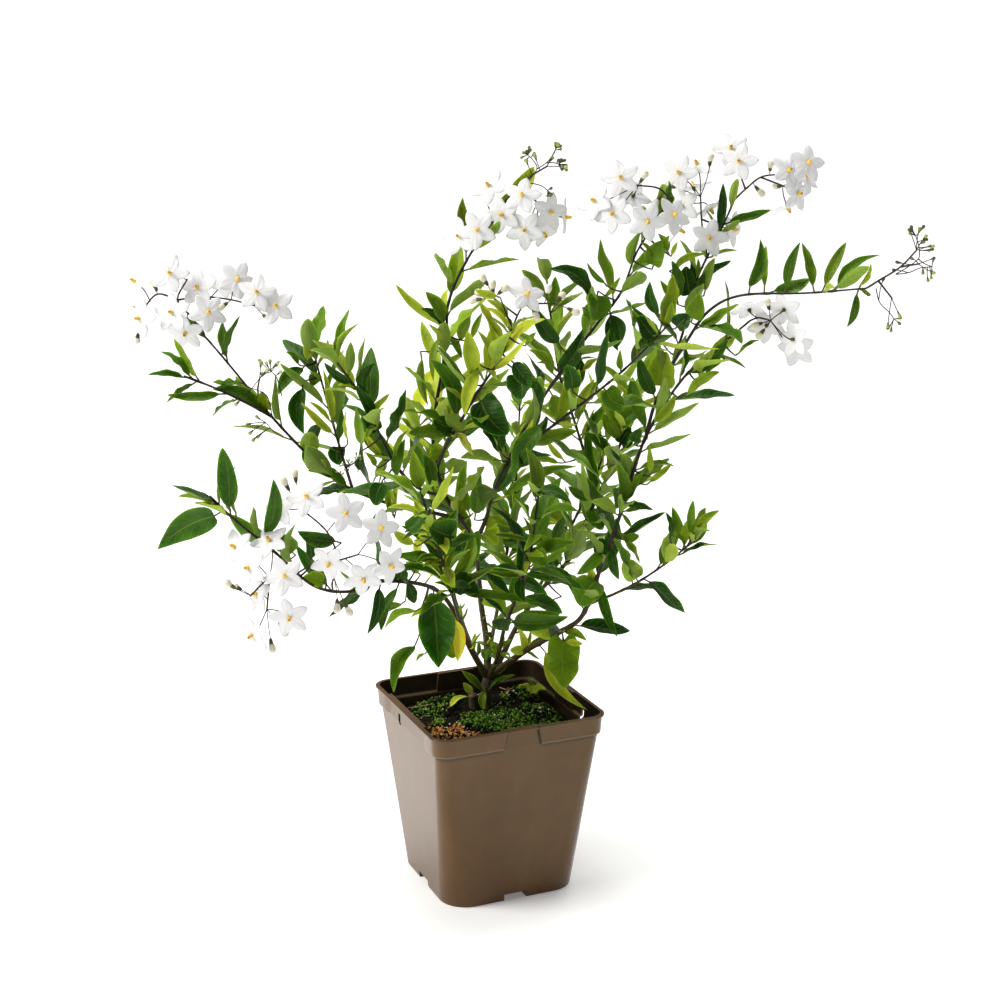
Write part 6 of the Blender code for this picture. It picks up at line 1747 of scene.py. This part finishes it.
def fillingLeaves(name, cane, route, rng):
    made = []
    first = cane["stub"] + 5 + cane["bare"] * route.length
    for _ in range(round(cane["leaves"] * filling["shares"].get(name, 0))):
        best = None
        for _ in range(filling["tries"]):
            share = rng.random()
            s = first + (route.length * 0.96 - first) * share
            axis = route.direction(s)
            out = outFrom(axis, rng.uniform(0, 2 * math.pi))
            lift = math.radians(rng.uniform(32, 70) - 14 * share)
            along = unit(axis * math.cos(lift) + out * math.sin(lift) + up * rng.uniform(-0.1, 0.35))
            length = cane["leaf"] * rng.uniform(*filling["length"]) * (1 - 0.2 * share)
            foot = route.point(s)
            tip, centre = foot + along * length, foot + along * length * filling["middle"]
            air = np.linalg.norm(np.array(centres) - centre, axis=1).min()
            if inBox(tip) and min(tip[2], centre[2]) > filling["lowest"] and (best is None or air > best[0]):
                normal = squareTo(along, axis + 0.5 * up - 0.3 * out)
                age = min(max(leafAge[name] - 0.3 * (share - 0.45) + rng.uniform(-0.3, 0.26), 0.14), 1)
                width = length * leafLook["slim"] * rng.uniform(0.8, 1.15)
                bend, twist, fold = rng.uniform(0.05, 0.35), rng.uniform(-0.8, 0.8), rng.uniform(0.15, 0.5)
                best = (air, centre, (foot, along, normal, length, width, bend, twist, fold, age))
        if best and best[0] > filling["apart"]:
            centres.append(best[1])
            made.append(leafWith(rng, *best[2]))
    return made


# Single young leaves at the foot of the trunk and low in the fork: (foot, tip, width, age), across away up
sprouts = (
    ((-2, 24, 128), (-18, 19, 147), 10.5, 0.5), ((0, 24, 130), (11, 17, 144), 8.5, 0.52),
    ((3, 25, 133), (20, 21, 143), 6.5, 0.5), ((-2, 24, 133), (-3, 15, 119), 7.5, 0.42),
    ((-10, 28, 122), (-18, 32, 133), 7, 0.2), ((1, 33, 160), (9, 34, 150), 7, 0.6),
    ((-3, 31, 150), (4, 32, 161), 7, 0.62), ((-3, 30, 142), (-8, 28, 152), 5, 0.6),
    ((4, 34, 166), (-3, 30, 172), 6, 0.55), ((3, 28, 140), (14, 24, 152), 6, 0.5),
    ((30, 40, 119), (43, 36, 126), 9, 0.3), ((34, 44, 118), (30, 52, 130), 7, 0.45),
)
fallen = (((-29, 17, 119), (-14, 38, 121), 6.5, 0.16), ((22, 52, 118), (36, 58, 119), 9, 0.22))


def looseLeaf(foot, tip, width, age, rng):
    ends = turned([foot, tip])
    along = unit(ends[1] - ends[0])
    normal = squareTo(along, up + 0.5 * viewer)
    return leafWith(rng, ends[0], along, normal, np.linalg.norm(ends[1] - ends[0]), width,
                    rng.uniform(0.0, 0.12), rng.uniform(-0.4, 0.4), rng.uniform(0.2, 0.5), age)


rng = random.Random(8)
for name, places in (("sproutLeaves", sprouts), ("fallenLeaves", fallen)):
    made = leafArrays([looseLeaf(*leaf, rng) for leaf in places])
    piece(name, [leafShapes(made, fillLook)], leafGreen, "foliage")

# The traced leaves: feet nearer a stem than this start on it; each width in the table grows by wider
beside = dict(seed=77, nearest=4, wider=1.28, arch=(0.02, 0.1))
lowGrowth = dict(count=4, spread=(-8, 42), share=1, size=0.6)  # young leaves low on each main stem
twigLook = dict(rows=6, sides=6, radius=(0.75, 0.45), young=0.55)


def besideLeaves(name, rng):
    # The leaves of the table above: each foot on the stem, or at the end of a side twig that starts from it
    route, made, twigs = routes[name], [], []
    for *places, width, age, tone, sickle, below in tracedLeaves.get(name, ()):
        ends = turned([places[:3], places[3:]])
        start = route.point(route.nearest(ends[0]))
        if np.linalg.norm(ends[0] - start) < beside["nearest"]:
            ends[0] = start
        else:
            twigs.append(Route([start, (start + ends[0]) / 2 - up * 0.8, ends[0]], False))
        along = unit(ends[1] - ends[0])
        nearViewer = turned([(rng.uniform(-0.5, 0.5), -1, 0)])[0]
        normal = squareTo(along, 0.35 * up - nearViewer if below else 0.7 * up + nearViewer)
        leaf = leafWith(rng, ends[0], along, normal, np.linalg.norm(ends[1] - ends[0]), width * beside["wider"],
                        0.0, rng.uniform(-0.5, 0.5), rng.uniform(0.12, 0.32), age)
        leaf.update(tone=tone, sickle=-sickle if below else sickle, arch=rng.uniform(*beside["arch"]))
        made.append(leaf)
    return made, twigs


rng, fillRng, besideRng = (random.Random(look["seed"]) for look in (youngGrowth, filling, beside))
filled = 0
for name, cane in canes.items():
    route, word = routes[name], ownWord(name)
    children = [routes[other].point(0) for other in canes if canes[other]["growsFrom"] == name]
    knots = feet[name] + [route.nearest(place) for place in children]
    small, more = youngLeaves(name, route, feet[name], rng), fillingLeaves(name, cane, route, fillRng)
    if cane["growsFrom"] == "woody_base":
        low = [cane["stub"] + besideRng.uniform(*lowGrowth["spread"]) for _ in range(lowGrowth["count"])]
        small += youngLeaves(name, route, low, besideRng, lowGrowth["share"], lowGrowth["size"])
    single, twigs = besideLeaves(name, besideRng)
    filled += len(small) + len(more) + len(single)
    shapes = [leafShapes(leafArrays(leaves[name] + single), leafLook)]
    stems = [stemShape(name, route, cane["radius"], knots)]
    for twig in twigs:
        rows = twigLook["rows"]
        path = twig.point(np.linspace(0, twig.length, rows))[None]
        wide = np.linspace(*twigLook["radius"], rows)[None]
        stems.append(tubes(path, wide, twigLook["sides"], young=np.full((1, rows), twigLook["young"])))
    piece("stem" + word, stems, stemSkin, "foliage", name)
    if more:
        shapes.append(leafShapes(leafArrays(more), fillLook))
    if small:
        shapes.append(leafShapes(leafArrays(small), smallLook))
    piece("leaves" + word, shapes, leafGreen, "foliage", name)
print("canes made:", len(canes), "with", filled, "more leaves")

# Trunk: the woody base, knobbly at the fork, with a cut stub beside it
trunk = dict(
    rows=30, sides=16,
    stem=dict(route=((-1, 27, 100), (-1, 27, 118), (-1, 27, 128), (0, 28, 141), (0.5, 29, 144)),
              radius=(3.6, 3.3), knots=(30, 36, 43)),
    stub=dict(route=((-10, 26, 98), (-10, 26, 112), (-10.5, 25.5, 121), (-11, 25, 126.5)),
              radius=(3.3 * 1.15, 3.3), knots=(12,)),
)


def makeTrunk():
    shapes = []
    for look in (trunk["stem"], trunk["stub"]):
        line, (foot, end) = Route(look["route"]), look["radius"]
        s = np.linspace(0, line.length, trunk["rows"])
        wide = foot + (end - foot) * s / line.length
        for knot in look["knots"]:
            wide = wide * (1 + 0.14 * np.exp(-(((s - knot) / 2.5) ** 2)))
        shape = tubes(line.point(s)[None], wide[None], trunk["sides"], tone=np.zeros((1, trunk["rows"])))
        x, y, z = shape["points"].T
        grow = 1 + 0.1 * lumps(x * 3 + y * 2, z, 3.0, 21) + 0.06 * lumps(x + 40, y * 2 + z * 0.3, 1.2, 22)
        centre = np.stack([np.interp(z, line.dense[:, 2], line.dense[:, axis]) for axis in (0, 1)], -1)
        shape["points"][:, :2] = centre + (shape["points"][:, :2] - centre) * grow[:, None]
        shapes.append(shape)
    piece("trunkBase", shapes, barkBrown, "bark", "woody_base")


makeTrunk()
print("trunk made")


def makeFloor():  # the studio's floor: one flat sheet under the pot
    cells = studio["floorCells"]
    spans = np.linspace(-studio["floorHalf"], studio["floorHalf"], cells + 1)
    x, y = np.meshgrid(spans, spans, indexing="ij")
    i, j = np.meshgrid(np.arange(cells), np.arange(cells), indexing="ij")
    first, next_ = i * (cells + 1) + j, (i + 1) * (cells + 1) + j
    faces = np.stack([first, next_, next_ + 1, first + 1], -1).reshape(-1, 4)
    mesh = bpy.data.meshes.new("studioFloor")
    mesh.from_pydata(np.stack([x, y, 0 * x], -1).reshape(-1, 3).tolist(), [], faces.tolist())
    mesh.materials.append(floorPale)
    made = linked("studioFloor", mesh)


makeFloor()
